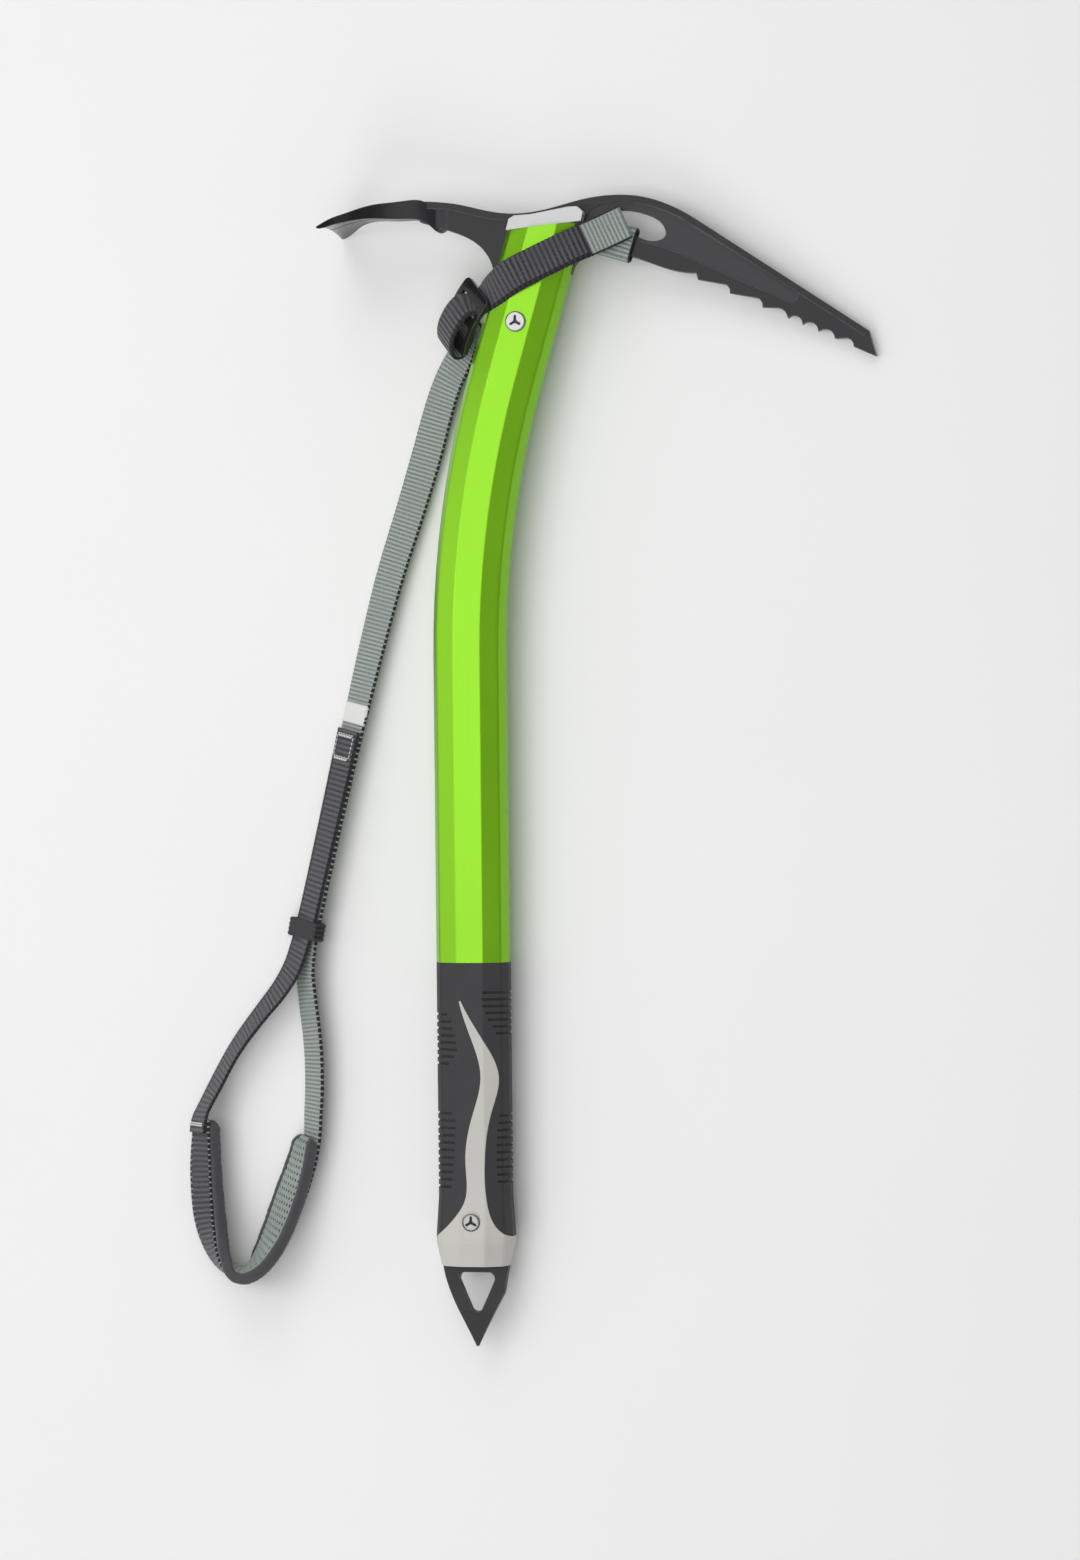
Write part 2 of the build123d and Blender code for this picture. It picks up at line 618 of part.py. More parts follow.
wrist_pad = pad_band("wrist_pad", PAD_THICKNESS, None)
OUTSIDE = -(PAD_THICKNESS + WEBBING) / 2 - PAD_GAP
pad_webbing = pad_band("pad_webbing", WEBBING, PAD_WEBBING_HEIGHT, beside=OUTSIDE)
binding_top = pad_band("binding_top", PAD_THICKNESS, BINDING, side=1)
binding_bottom = pad_band("binding_bottom", PAD_THICKNESS, BINDING, side=-1)
pad_binding = Compound(label="pad_binding", children=[binding_top, binding_bottom])

# ---------------------------------------------------------------- leash: at the head
HEAD_STRAP_START = (63.0, 484.5)
HEAD_STRAP_RUN = direction(-52.5, -24.0)

head_plane = Plane(origin=at(*HEAD_STRAP_START), x_dir=HEAD_STRAP_RUN, z_dir=HEAD_STRAP_RUN.cross(AXE.z_dir))
head_path = rounded(HEAD_ROUTE, head_plane)

with BuildPart() as head_strap:
    with BuildSketch(Plane(origin=head_path @ 0, x_dir=head_plane.z_dir, z_dir=head_path % 0)):
        Rectangle(WEBBING_WIDTH, WEBBING)
    sweep(path=head_path)
head_strap.part.label = "head_strap"

# the loop around the bar of the head under the eye
LIMB = direction(math.cos(math.radians(17)), -math.sin(math.radians(17)))
with BuildPart() as eye_loop:
    with BuildSketch(Plane(origin=at(67.0, 480.6), x_dir=LIMB.cross(AXE.z_dir) * -1, z_dir=LIMB)):
        with Locations((-0.65, 0)):
            RectangleRounded(15.5, 8.6, 2.4)
            RectangleRounded(12.3, 5.4, 0.9, mode=Mode.SUBTRACT)
    extrude(amount=4.75, both=True)
eye_loop.part.label = "eye_loop"

# ---------------------------------------------------------------- leash: buckle
BUCKLE_WIDTH = 21.8
BUCKLE_ARCH = 46.0
BUCKLE_DEGREES = 37.0
BUCKLE_PLATE = 2.0
bar = Vector(-0.578, 0.624, -0.528).normalized()
BUCKLE = Plane(origin=(-52.4, 210.8, 24.0), x_dir=bar, z_dir=bar.cross(Vector(-0.685, -0.721, -0.103)))
BUCKLE_SIDE = Plane(origin=BUCKLE.origin, x_dir=BUCKLE.y_dir, z_dir=BUCKLE.x_dir)


def arch_point(radius, degrees):
    """A point of the buckle's arch, seen from its side."""
    a = math.radians(degrees)
    return (radius * math.sin(a), radius * math.cos(a) - BUCKLE_ARCH)


with BuildPart() as buckle:
    with BuildSketch(BUCKLE_SIDE):
        inner = BUCKLE_ARCH - BUCKLE_PLATE
        with BuildLine():
            ThreePointArc(*(arch_point(BUCKLE_ARCH, k * BUCKLE_DEGREES / 2) for k in range(3)))
            Line(arch_point(BUCKLE_ARCH, BUCKLE_DEGREES), arch_point(inner, BUCKLE_DEGREES))
            ThreePointArc(*(arch_point(inner, k * BUCKLE_DEGREES / 2) for k in (2, 1, 0)))
            Line(arch_point(inner, 0), arch_point(BUCKLE_ARCH, 0))
        make_face()
    extrude(amount=BUCKLE_WIDTH / 2, both=True)
    fillet(buckle.edges().filter_by(lambda e: e.length < BUCKLE_PLATE + 0.1), radius=2.5)
    with BuildSketch(BUCKLE):
        with Locations((0, 8.0), (0, 18.0)):
            RectangleRounded(16.4, 5.0, 0.8)
    extrude(amount=30, both=True, mode=Mode.SUBTRACT)
buckle.part.label = "buckle"

END_BAR = 31.7  # degrees round the arch to the middle of the buckle's end bar
with BuildPart() as buckle_loop:
    with BuildSketch(BUCKLE_SIDE):
        with Locations(Location((*arch_point(BUCKLE_ARCH - 1, END_BAR), 0), (0, 0, -END_BAR))):
            RectangleRounded(12.6, 5.9, 2.2)
            RectangleRounded(9.4, 2.7, 0.7, mode=Mode.SUBTRACT)
    extrude(amount=7.3, both=True)
buckle_loop.part.label = "buckle_loop"

# ---------------------------------------------------------------- leash: slider, label and thread
KEEPER_AT = Vector(-137.4, -68.3)
KEEPER_RUN = Vector(21, 93).normalized()
KEEPER_WIDTH = WEBBING_WIDTH + KEEPER_ROOM + 2 * KEEPER_WALL
KEEPER_HEIGHT = 2 * WEBBING + 3 * STRAP_GAP + 2 * KEEPER_WALL
with BuildPart() as slider:
    start = Vector(KEEPER_AT.X, KEEPER_AT.Y, (LONG_Z + SHORT_Z) / 2) - KEEPER_RUN * (KEEPER_LENGTH / 2)
    with BuildSketch(Plane(origin=start, x_dir=Vector(0, 0, 1).cross(KEEPER_RUN), z_dir=KEEPER_RUN)):
        RectangleRounded(KEEPER_WIDTH, KEEPER_HEIGHT, 1.4)
        offset(amount=-KEEPER_WALL, mode=Mode.SUBTRACT)
    extrude(amount=KEEPER_LENGTH)
slider.part.label = "slider"

STRAP_TURN = math.degrees(math.atan2(KEEPER_RUN.Y, KEEPER_RUN.X)) - 90
with BuildPart() as label:
    with BuildSketch(Plane.XY.offset(LONG_Z + WEBBING / 2)):
        with Locations(Location((-115.2, 26.8, 0), (0, 0, STRAP_TURN))):
            Rectangle(13.0, 9.0)
    extrude(amount=THREAD)
label.part.label = "label"

with BuildPart() as box_stitching:
    with BuildSketch(Plane.XY.offset(SHORT_Z + WEBBING / 2)):
        with Locations(Location((-119.1, 13.0, 0), (0, 0, STRAP_TURN))):
            Rectangle(12.6, 11.0)
            Rectangle(11.4, 9.8, mode=Mode.SUBTRACT)
    extrude(amount=THREAD)
box_stitching.part.label = "box_stitching"

BUILDERS = (head, shaft, grip_sleeve, ferrule, spike, head_strap, eye_loop, buckle, buckle_loop, slider,
            label, box_stitching)
PIECES = [b.part for b in BUILDERS] + [
    head_insert_front, head_insert_back, head_sleeve, head_bolt, spike_wedge_front, spike_wedge_back,
    spike_sleeve, spike_screw, long_strap, wrist_strap, wrist_pad, pad_webbing, pad_binding]

for piece in PIECES:
    export_step(piece, f"parts/{piece.label}.step")
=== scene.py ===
"""Looks of the ice axe and its wrist leash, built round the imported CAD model.

Lengths in the code are in mm, and reach Blender times MM, apart from the few that are said to be in metres.
"""

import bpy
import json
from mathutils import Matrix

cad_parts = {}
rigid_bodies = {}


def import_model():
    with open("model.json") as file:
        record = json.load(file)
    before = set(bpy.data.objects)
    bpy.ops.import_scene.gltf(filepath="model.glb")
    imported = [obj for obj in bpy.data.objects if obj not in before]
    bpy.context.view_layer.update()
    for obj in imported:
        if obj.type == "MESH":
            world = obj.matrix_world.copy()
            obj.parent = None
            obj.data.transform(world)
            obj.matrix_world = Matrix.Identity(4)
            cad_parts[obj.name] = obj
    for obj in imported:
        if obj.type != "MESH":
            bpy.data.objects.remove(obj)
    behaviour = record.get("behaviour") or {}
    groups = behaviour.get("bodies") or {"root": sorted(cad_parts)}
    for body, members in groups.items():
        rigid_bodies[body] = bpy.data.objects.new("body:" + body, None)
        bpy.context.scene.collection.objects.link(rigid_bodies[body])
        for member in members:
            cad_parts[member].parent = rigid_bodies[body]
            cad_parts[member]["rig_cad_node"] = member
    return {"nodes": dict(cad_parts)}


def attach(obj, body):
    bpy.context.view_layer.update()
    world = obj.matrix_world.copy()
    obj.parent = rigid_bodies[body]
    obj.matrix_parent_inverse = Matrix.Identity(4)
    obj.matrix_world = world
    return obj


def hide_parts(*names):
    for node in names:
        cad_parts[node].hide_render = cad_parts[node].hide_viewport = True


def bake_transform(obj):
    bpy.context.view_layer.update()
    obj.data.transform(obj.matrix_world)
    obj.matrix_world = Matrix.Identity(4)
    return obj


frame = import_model()

import copy
import json
import math

import bpy
import numpy as np
from mathutils import Matrix, Vector

# Blender's start-up objects go first, so that the bounds are those of the CAD alone
SPARE_KINDS = ("MESH", "LIGHT", "CAMERA")
for spare in [o for o in bpy.data.objects if "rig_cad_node" not in o and o.type in SPARE_KINDS]:
    bpy.data.objects.remove(spare)
bpy.context.view_layer.update()

MM = 0.001
NODES = frame["nodes"]

# the axe's own frame: u across the shaft to the pick, v up it, w out of its front
AXE_O = np.array([-58.923, -250.033, 12.691])
AXE_U = np.array([0.99493, 0.0016, -0.10055])
AXE_V = np.array([0.0, 0.99987, 0.01589])
AXE_W = np.array([0.10056, -0.01581, 0.9948])
# the buckle's frame: x along its bars, y the way the strap runs through it, h out of its top
BUCKLE_O = np.array([-52.4, 210.8, 24.0])
BUCKLE_X = np.array([-0.5774, 0.6233, -0.5274])
BUCKLE_Y = np.array([-0.6849, -0.7214, -0.1028])
BUCKLE_H = np.array([-0.4445, 0.3019, 0.8434])
# where the head strap leaves the head's eye, and the way it runs over the shaft
STRAP_START = AXE_O + 63.0 * AXE_U + 484.5 * AXE_V
STRAP_RUN = np.array([-0.90486, -0.41716, 0.08484])
# the webbing's width and thickness, and the pitch of the ribs on its light face and on the upper strap's dark one
WEBBING_WIDTH = 15.0
WEBBING = 1.6
RIB_PITCH = 1.8
WIDE_RIB_PITCH = 2.35
# how far apart a strap's cross-sections are
STRAP_STEP = 0.3


# ---------------------------------------------------------------- camera, floor and lights
CAMERA_PLACE = Vector((546.1, -2.72, 2018.65))
CAMERA_TARGET = Vector((-32.74, -2.72, 0.0))
CAMERA_ROLL = -0.336
CAMERA_LENS = 110.57
SENSOR = 36.0
CAMERA_REACH = 20.0  # metres

FLOOR_HALF = 10.0  # metres
SKY_STRENGTH = 0.36
LIT_POINT = (-40, 0, 0)
# name, place, size in metres and power in watts
LAMPS = [
    ("overhead", (-190, 60, 1500), (0.9, 1.8), 9.0),
    ("left_fill", (-1500, 100, 1150), (1.0, 1.6), 4.5),
    ("near_fill", (-500, -1400, 1200), (1.0, 1.0), 7.0),
    ("far_fill", (-300, 1500, 1100), (1.0, 1.0), 7.0),
]


def point_at(obj, where, target):
    obj.location = Vector(where) * MM
    obj.rotation_mode = "QUATERNION"
    obj.rotation_quaternion = (Vector(target) - Vector(where)).to_track_quat("-Z", "Y")


def link(obj):
    bpy.context.scene.collection.objects.link(obj)
    return obj


def camera():
    """The camera, upright along y and then rolled about its line of sight."""
    data = bpy.data.cameras.new("camera")
    data.sensor_width = SENSOR
    data.lens = CAMERA_LENS
    data.clip_end = CAMERA_REACH
    obj = link(bpy.data.objects.new("camera", data))
    back = (CAMERA_PLACE - CAMERA_TARGET).normalized()
    right = Vector((0, 1, 0)).cross(back).normalized()
    up = back.cross(right)
    turn = math.radians(CAMERA_ROLL)
    x = math.cos(turn) * right + math.sin(turn) * up
    y = -math.sin(turn) * right + math.cos(turn) * up
    obj.rotation_mode = "QUATERNION"
    obj.rotation_quaternion = Matrix((x, y, back)).transposed().to_quaternion()
    obj.location = CAMERA_PLACE * MM
    bpy.context.scene.camera = obj


def lamp(name, where, size, power):
    data = bpy.data.lights.new(name, "AREA")
    data.shape = "RECTANGLE"
    data.size, data.size_y = size
    data.energy = power
    point_at(link(bpy.data.objects.new(name, data)), where, LIT_POINT)


def studio():
    """A pale paper floor under soft lamps and an even white sky."""
    mesh = bpy.data.meshes.new("floor")
    corners = [(x * FLOOR_HALF, y * FLOOR_HALF, 0) for x, y in ((-1, -1), (1, -1), (1, 1), (-1, 1))]
    mesh.from_pydata(corners, [], [(0, 1, 2, 3)])
    floor = link(bpy.data.objects.new("floor", mesh))
    paper = Shader("floor_paper", (0.9, 0.9, 0.9), 0.9)
    paper.colour(paper.mix(paper.noise(120.0, 3), (0.89, 0.89, 0.89), (0.91, 0.91, 0.905)))
    paper.bump(paper.noise(2.0, 4), 0.05, 0.1)
    mesh.materials.append(paper.material)
    world = bpy.data.worlds.new("studio")
    bpy.context.scene.world = world
    world.use_nodes = True
    sky = world.node_tree.nodes["Background"]
    sky.inputs["Color"].default_value = (1, 1, 1, 1)
    sky.inputs["Strength"].default_value = SKY_STRENGTH
    for name, where, size, power in LAMPS:
        lamp(name, where, size, power)
    bpy.context.scene.view_settings.view_transform = "Standard"


# ---------------------------------------------------------------- materials
# the scale that gives Blender's wave texture one band a unit, and a noise's usual range
ONE_BAND_A_UNIT = 1.0 / 20.0 * 2 * math.pi
NOISE_LOW, NOISE_SPAN = 0.3, 0.4
# UVs are kept in units of 100 mm
UV_UNIT = 100


class Shader:
    """A Principled material with helpers for its procedural detail. Sizes are in mm."""

    def __init__(self, name, colour, roughness, metallic=0.0, coat=0.0, coat_roughness=0.1,
                 sheen=0.0, specular=0.5):
        self.material = bpy.data.materials.new(name)
        self.material.use_nodes = True
        self.tree = self.material.node_tree
        self.shader = self.tree.nodes["Principled BSDF"]
        self.set("Base Color", (*colour, 1.0))
        self.set("Roughness", roughness)
        self.set("Metallic", metallic)
        self.set("Coat Weight", coat)
        self.set("Coat Roughness", coat_roughness)
        self.set("Sheen Weight", sheen)
        self.set("Specular IOR Level", specular)
        self.normal = None

    def set(self, socket, value):
        self.shader.inputs[socket].default_value = value

    def node(self, kind, **settings):
        made = self.tree.nodes.new(kind)
        for key, value in settings.items():
            setattr(made, key, value)
        return made

    def wire(self, out, socket):
        self.tree.links.new(out, socket)

    def place(self, scale):
        """Object coordinates in mm, each divided by its scale."""
        coords = self.node("ShaderNodeTexCoord")
        mapping = self.node("ShaderNodeMapping")
        mapping.inputs["Scale"].default_value = [1 / (MM * s) for s in scale]
        self.wire(coords.outputs["Object"], mapping.inputs["Vector"])
        return mapping.outputs["Vector"]

    def woven_place(self, scale):
        """The piece's own weave map: x along it and y across it, in mm, each divided by scale."""
        coords = self.node("ShaderNodeUVMap", uv_map="weave")
        mapping = self.node("ShaderNodeMapping")
        mapping.inputs["Scale"].default_value = (UV_UNIT / scale[0], UV_UNIT / scale[1], 1)
        self.wire(coords.outputs["UV"], mapping.inputs["Vector"])
        return mapping.outputs["Vector"]

    def noise(self, size, detail=2.0, stretch=(1, 1, 1), vector=None, rough=0.5):
        made = self.node("ShaderNodeTexNoise")
        made.inputs["Scale"].default_value = 1.0
        made.inputs["Detail"].default_value = detail
        made.inputs["Roughness"].default_value = rough
        self.wire(vector or self.place([size * s for s in stretch]), made.inputs["Vector"])
        return made.outputs["Fac"]

    def wave(self, vector, direction="X"):
        """Smooth bands, one for each unit of the vector."""
        made = self.node("ShaderNodeTexWave", wave_type="BANDS", bands_direction=direction, wave_profile="SIN")
        made.inputs["Scale"].default_value = ONE_BAND_A_UNIT
        self.wire(vector, made.inputs["Vector"])
        return made.outputs["Fac"]

    def math(self, operation, a, b=0.0, clamp=False):
        made = self.node("ShaderNodeMath", operation=operation, use_clamp=clamp)
        for socket, value in zip(made.inputs, (a, b)):
            if isinstance(value, (int, float)):
                socket.default_value = value
            else:
                self.wire(value, socket)
        return made.outputs[0]

    def band(self, value, low, high, to_low=0.0, to_high=1.0):
        """A smooth step from to_low to to_high as the value goes from low to high."""
        made = self.node("ShaderNodeMapRange", interpolation_type="SMOOTHSTEP")
        self.wire(value, made.inputs["Value"])
        for name, number in zip(("From Min", "From Max", "To Min", "To Max"), (low, high, to_low, to_high)):
            made.inputs[name].default_value = number
        return made.outputs["Result"]

    def mix(self, fac, a, b):
        made = self.node("ShaderNodeMix", data_type="RGBA")
        self.wire(fac, made.inputs["Factor"])
        for socket, value in ((made.inputs[6], a), (made.inputs[7], b)):
            if isinstance(value, tuple):
                socket.default_value = (*value, 1.0)
            else:
                self.wire(value, socket)
        return made.outputs[2]

    def colour(self, out):
        self.wire(out, self.shader.inputs["Base Color"])

    def roughness(self, fac, low, high):
        """Roughness that goes from low to high in a straight line over a noise's usual range."""
        slope = (high - low) / NOISE_SPAN
        value = self.math("ADD", self.math("MULTIPLY", fac, slope), low - NOISE_LOW * slope)
        self.wire(value, self.shader.inputs["Roughness"])

    def bump(self, height, strength, distance):
        """Adds relief on top of whatever relief the material already has."""
        made = self.node("ShaderNodeBump")
        made.inputs["Strength"].default_value = strength
        made.inputs["Distance"].default_value = distance * MM
        self.wire(height, made.inputs["Height"])
        if self.normal is not None:
            self.wire(self.normal, made.inputs["Normal"])
        self.normal = made.outputs["Normal"]
        self.wire(self.normal, self.shader.inputs["Normal"])

    def axe_height(self):
        """Distance from the axe's middle plane in mm, on either side of it."""
        coords = self.node("ShaderNodeTexCoord")
        dot = self.node("ShaderNodeVectorMath", operation="DOT_PRODUCT")
        self.wire(coords.outputs["Object"], dot.inputs[0])
        dot.inputs[1].default_value = tuple(AXE_W / MM)
        return self.math("ABSOLUTE", self.math("SUBTRACT", dot.outputs["Value"], float(AXE_O @ AXE_W)))

    def rounded_edges(self, radius):
        """Softens the corners of machined parts, and returns how near a corner each point is."""
        made = self.node("ShaderNodeBevel", samples=4)
        made.inputs["Radius"].default_value = radius * MM
        self.normal = made.outputs["Normal"]
        self.wire(self.normal, self.shader.inputs["Normal"])
        flat = self.node("ShaderNodeNewGeometry")
        dot = self.node("ShaderNodeVectorMath", operation="DOT_PRODUCT")
        self.wire(self.normal, dot.inputs[0])
        self.wire(flat.outputs["Normal"], dot.inputs[1])
        return self.math("SUBTRACT", 1.0, dot.outputs["Value"], clamp=True)


# how far from the axe's middle plane the head's low faces end and its rim begins
RIM = (1.78, 1.95)


def metal_paint():
    """Black coating on forged steel: satin on the low faces, darker and glossier on the rim, lighter on edges,
    partly from wear and partly as a painted highlight along the rim.
    """
    s = Shader("head_coating", (0.02, 0.02, 0.023), 0.34, coat=0.12, specular=0.22)
    edge = s.rounded_edges(0.6)
    grain = s.noise(0.35, 4)
    patches = s.noise(14.0, 3)
    satin = s.mix(patches, (0.034, 0.034, 0.037), (0.05, 0.05, 0.054))
    height = s.axe_height()
    base = s.mix(s.band(height, *RIM), satin, s.mix(patches, (0.008, 0.008, 0.01), (0.018, 0.018, 0.021)))
    # lighter edges: bare steel where the coating is worn, and a painted highlight running along the rim
    lightened_edges = s.math("MULTIPLY", s.band(edge, 0.02, 0.16), s.band(s.noise(6.0, 4), 0.2, 0.5, 0.3, 1.0))
    s.colour(s.mix(lightened_edges, base, (0.16, 0.16, 0.17)))
    gloss = s.math("ADD", s.band(height, *RIM, 0.42, 0.2), s.band(patches, 0.3, 0.7, -0.04, 0.06))
    s.wire(gloss, s.shader.inputs["Roughness"])
    s.bump(grain, 0.25, 0.05)
    s.bump(s.noise(5.0, 2), 0.12, 0.3)
    return s.material


def anodised():
    """Green anodised aluminium, faintly drawn along the shaft and a little cloudy."""
    s = Shader("green_anodised", (0.16, 0.5, 0.005), 0.3, metallic=0.7, coat=0.2, coat_roughness=0.12)
    drawn = s.noise(1.0, 3, stretch=(0.5, 60, 0.5))
    cloud = s.noise(40.0, 2)
    base = s.mix(drawn, (0.195, 0.5, 0.003), (0.215, 0.53, 0.005))
    base = s.mix(s.band(cloud, 0.3, 0.7, 0.0, 0.15), base, (0.25, 0.57, 0.01))
    s.colour(base)
    s.roughness(cloud, 0.27, 0.33)
    s.bump(s.noise(0.25, 2), 0.1, 0.015)
    return s.material


def moulded(name, low, high, roughness, edge_tint):
    """Moulded plastic with a fine spark-eroded texture."""
    s = Shader(name, high, roughness, specular=0.45)
    edge = s.rounded_edges(0.5)
    patches = s.noise(18.0, 3)
    s.colour(s.mix(s.band(edge, 0.02, 0.2, 0.0, 0.6), s.mix(patches, low, high), edge_tint))
    s.roughness(patches, roughness - 0.06, roughness + 0.08)
    s.bump(s.noise(0.3, 3), 0.25, 0.04)
    return s.material


def rubber():
    """Matt black rubber with painted shade in its hollows and scuffed corners."""
    s = Shader("grip_rubber", (0.07, 0.07, 0.075), 0.58, specular=0.4)
    edge = s.rounded_edges(0.35)
    patches = s.noise(9.0, 4)
    base = s.mix(patches, (0.024, 0.024, 0.027), (0.042, 0.042, 0.045))
    # painted shade: ambient occlusion darkens the grooves between the ribs
    painted_groove_shade = s.node("ShaderNodeAmbientOcclusion", samples=4, only_local=True)
    painted_groove_shade.inputs["Distance"].default_value = 1.5 * MM
    base = s.mix(s.band(painted_groove_shade.outputs["AO"], 0.55, 0.95), (0.006, 0.006, 0.007), base)
    s.colour(s.mix(s.band(edge, 0.03, 0.25, 0.0, 0.7), base, (0.12, 0.12, 0.12)))
    s.roughness(patches, 0.5, 0.68)
    s.bump(s.noise(0.45, 4, rough=0.7), 0.35, 0.07)
    return s.material


def spike_metal():
    """Dark heat-treated steel, rubbed bright on its edges."""
    s = Shader("spike_steel", (0.03, 0.03, 0.03), 0.45, specular=0.35)
    edge = s.rounded_edges(0.6)
    patches = s.noise(6.0, 5)
    base = s.mix(patches, (0.018, 0.018, 0.018), (0.034, 0.034, 0.034))
    lightened_edges = s.math("MULTIPLY", s.band(edge, 0.02, 0.2), s.band(s.noise(2.0, 5), 0.35, 0.6))
    s.colour(s.mix(lightened_edges, base, (0.22, 0.22, 0.22)))
    s.roughness(patches, 0.4, 0.56)
    s.bump(s.noise(0.4, 4), 0.3, 0.06)
    return s.material


# how far from the axe's middle plane the floors of the two screws' recesses end; nearer the middle plane the
# recesses take painted shade
BOLT_RECESS = 11.1
SCREW_RECESS = 12.1
RECESS_WALL = 0.5


def bright_metal(name, recess):
    """Turned steel with painted shade in its driver's recess, which ends that far from the axe's middle plane."""
    s = Shader(name, (0.5, 0.5, 0.49), 0.24, metallic=1.0)
    edge = s.rounded_edges(0.25)
    turned = s.noise(0.5, 4, stretch=(1, 8, 1))
    bright = s.mix(turned, (0.3, 0.3, 0.3), (0.46, 0.46, 0.45))
    height = s.axe_height()
    # painted shade: the driver's recess is darkened below the recess height
    bright = s.mix(s.band(height, recess, recess + RECESS_WALL), (0.03, 0.03, 0.03), bright)
    s.colour(s.mix(s.band(edge, 0.05, 0.4), bright, (0.72, 0.72, 0.72)))
    s.roughness(turned, 0.16, 0.3)
    s.bump(turned, 0.1, 0.02)
    return s.material


def black_chrome():
    """Glossy black enamel, chipped on its sharpest edges."""
    s = Shader("buckle_enamel", (0.012, 0.011, 0.012), 0.12, coat=0.5, coat_roughness=0.05)
    edge = s.rounded_edges(0.5)
    drift = s.noise(4.0, 3)
    lightened_edges = s.math("MULTIPLY", s.band(edge, 0.08, 0.4), s.band(s.noise(1.5, 4), 0.3, 0.5))
    s.colour(s.mix(lightened_edges, s.mix(drift, (0.008, 0.008, 0.008), (0.02, 0.018, 0.018)), (0.3, 0.29, 0.27)))
    s.roughness(drift, 0.08, 0.2)
    s.bump(s.noise(1.2, 3), 0.08, 0.04)
    return s.material


def webbing(name, shaded_valley, lit_crest, pitch, fleck):
    """Ribbed webbing: yarns run across it, one rib every pitch, with painted shade in the valleys between ribs and a
    painted highlight on their crests.
    """
    s = Shader(name, lit_crest, 0.75, sheen=0.25, specular=0.25)
    along = s.wave(s.woven_place((pitch, 1.0)))
    yarn = s.noise(1, 3, vector=s.woven_place((0.35, 1.1)))
    twist = s.noise(1, 2, vector=s.woven_place((1.2, 0.5)))
    soft = s.noise(1, 2, vector=s.woven_place((26, 12)))
    # painted shade and highlight: rib valleys darker, rib crests lighter
    base = s.mix(s.band(along, 0.15, 0.8), shaded_valley, lit_crest)
    base = s.mix(s.band(yarn, 0.45, 0.75, 0.0, 0.55), base, fleck)
    dark = tuple(0.72 * c for c in lit_crest)
    s.colour(s.mix(s.band(soft, 0.35, 0.7, 0.0, 0.4), base, dark))
    s.roughness(yarn, 0.68, 0.88)
    s.bump(along, 0.35, 0.25)
    s.bump(yarn, 0.5, 0.12)
    s.bump(twist, 0.35, 0.12)
    return s.material


def selvedge(name, dash):
    """A strap's dark woven edge with a dash of the other face's yarn at each turn of the weft."""
    s = Shader(name, (0.012, 0.012, 0.014), 0.8, sheen=0.15, specular=0.2)
    yarn = s.noise(1, 3, vector=s.woven_place((0.5, 0.5)))
    dashes = s.band(s.wave(s.woven_place((2.5, 1.0))), 0.72, 0.9)
    s.colour(s.mix(dashes, s.mix(yarn, (0.006, 0.006, 0.008), (0.03, 0.03, 0.034)), dash))
    s.roughness(yarn, 0.7, 0.9)
    s.bump(yarn, 0.5, 0.12)
    return s.material


def knit_tape():
    """The soft tape that binds the pad's edges."""
    s = Shader("binding_tape", (0.08, 0.08, 0.088), 0.8, sheen=0.35, specular=0.2)
    rib = s.wave(s.woven_place((0.9, 1.0)))
    yarn = s.noise(1, 3, vector=s.woven_place((0.5, 0.35)))
    soft = s.noise(1, 3, vector=s.woven_place((9, 4)))
    base = s.mix(rib, (0.055, 0.055, 0.062), (0.085, 0.085, 0.095))
    base = s.mix(s.band(yarn, 0.4, 0.8, 0.0, 0.5), base, (0.12, 0.12, 0.13))
    s.colour(s.mix(s.band(soft, 0.3, 0.7, 0.0, 0.5), base, (0.06, 0.06, 0.066)))
    s.roughness(yarn, 0.7, 0.9)
    s.bump(rib, 0.4, 0.12)
    s.bump(yarn, 0.4, 0.1)
    return s.material


def spacer_mesh():
    """Air mesh: knitted diamonds round deep holes, with painted shade in the holes."""
    s = Shader("spacer_mesh", (0.3, 0.35, 0.32), 0.85, sheen=0.3, specular=0.2)
    depth = s.node("ShaderNodeAttribute", attribute_name="hole")
    yarn = s.noise(1, 3, vector=s.woven_place((0.3, 0.3)))
    soft = s.noise(1, 3, vector=s.woven_place((12, 8)))
    base = s.mix(yarn, (0.24, 0.28, 0.255), (0.4, 0.44, 0.41))
    base = s.mix(s.band(soft, 0.3, 0.7, 0.0, 0.35), base, (0.2, 0.235, 0.215))
    # painted shade: the holes are darkened by the hole attribute
    s.colour(s.mix(s.band(depth.outputs["Fac"], 0.25, 0.75), base, (0.035, 0.045, 0.04)))
    s.roughness(yarn, 0.75, 0.95)
    s.bump(yarn, 0.5, 0.12)
    return s.material


def thread(name, colour):
    """Twisted sewing thread."""
    s = Shader(name, colour, 0.6, sheen=0.3)
    twist = s.noise(0.25, 3)
    s.colour(s.mix(twist, tuple(0.75 * c for c in colour), colour))
    s.roughness(twist, 0.5, 0.7)
    s.bump(twist, 0.4, 0.06)
    return s.material


def woven_label():
    """Blank white label in a plain weave."""
    s = Shader("label_weave", (0.8, 0.8, 0.79), 0.7, sheen=0.2, specular=0.3)
    weft = s.wave(s.woven_place((0.5, 1.0)))
    warp = s.wave(s.woven_place((1.0, 0.35)), "Y")
    both = s.math("MULTIPLY", weft, warp)
    s.colour(s.mix(both, (0.68, 0.68, 0.67), (0.86, 0.86, 0.85)))
    s.roughness(s.noise(2.0, 2), 0.62, 0.78)
    s.bump(both, 0.4, 0.06)
    return s.material


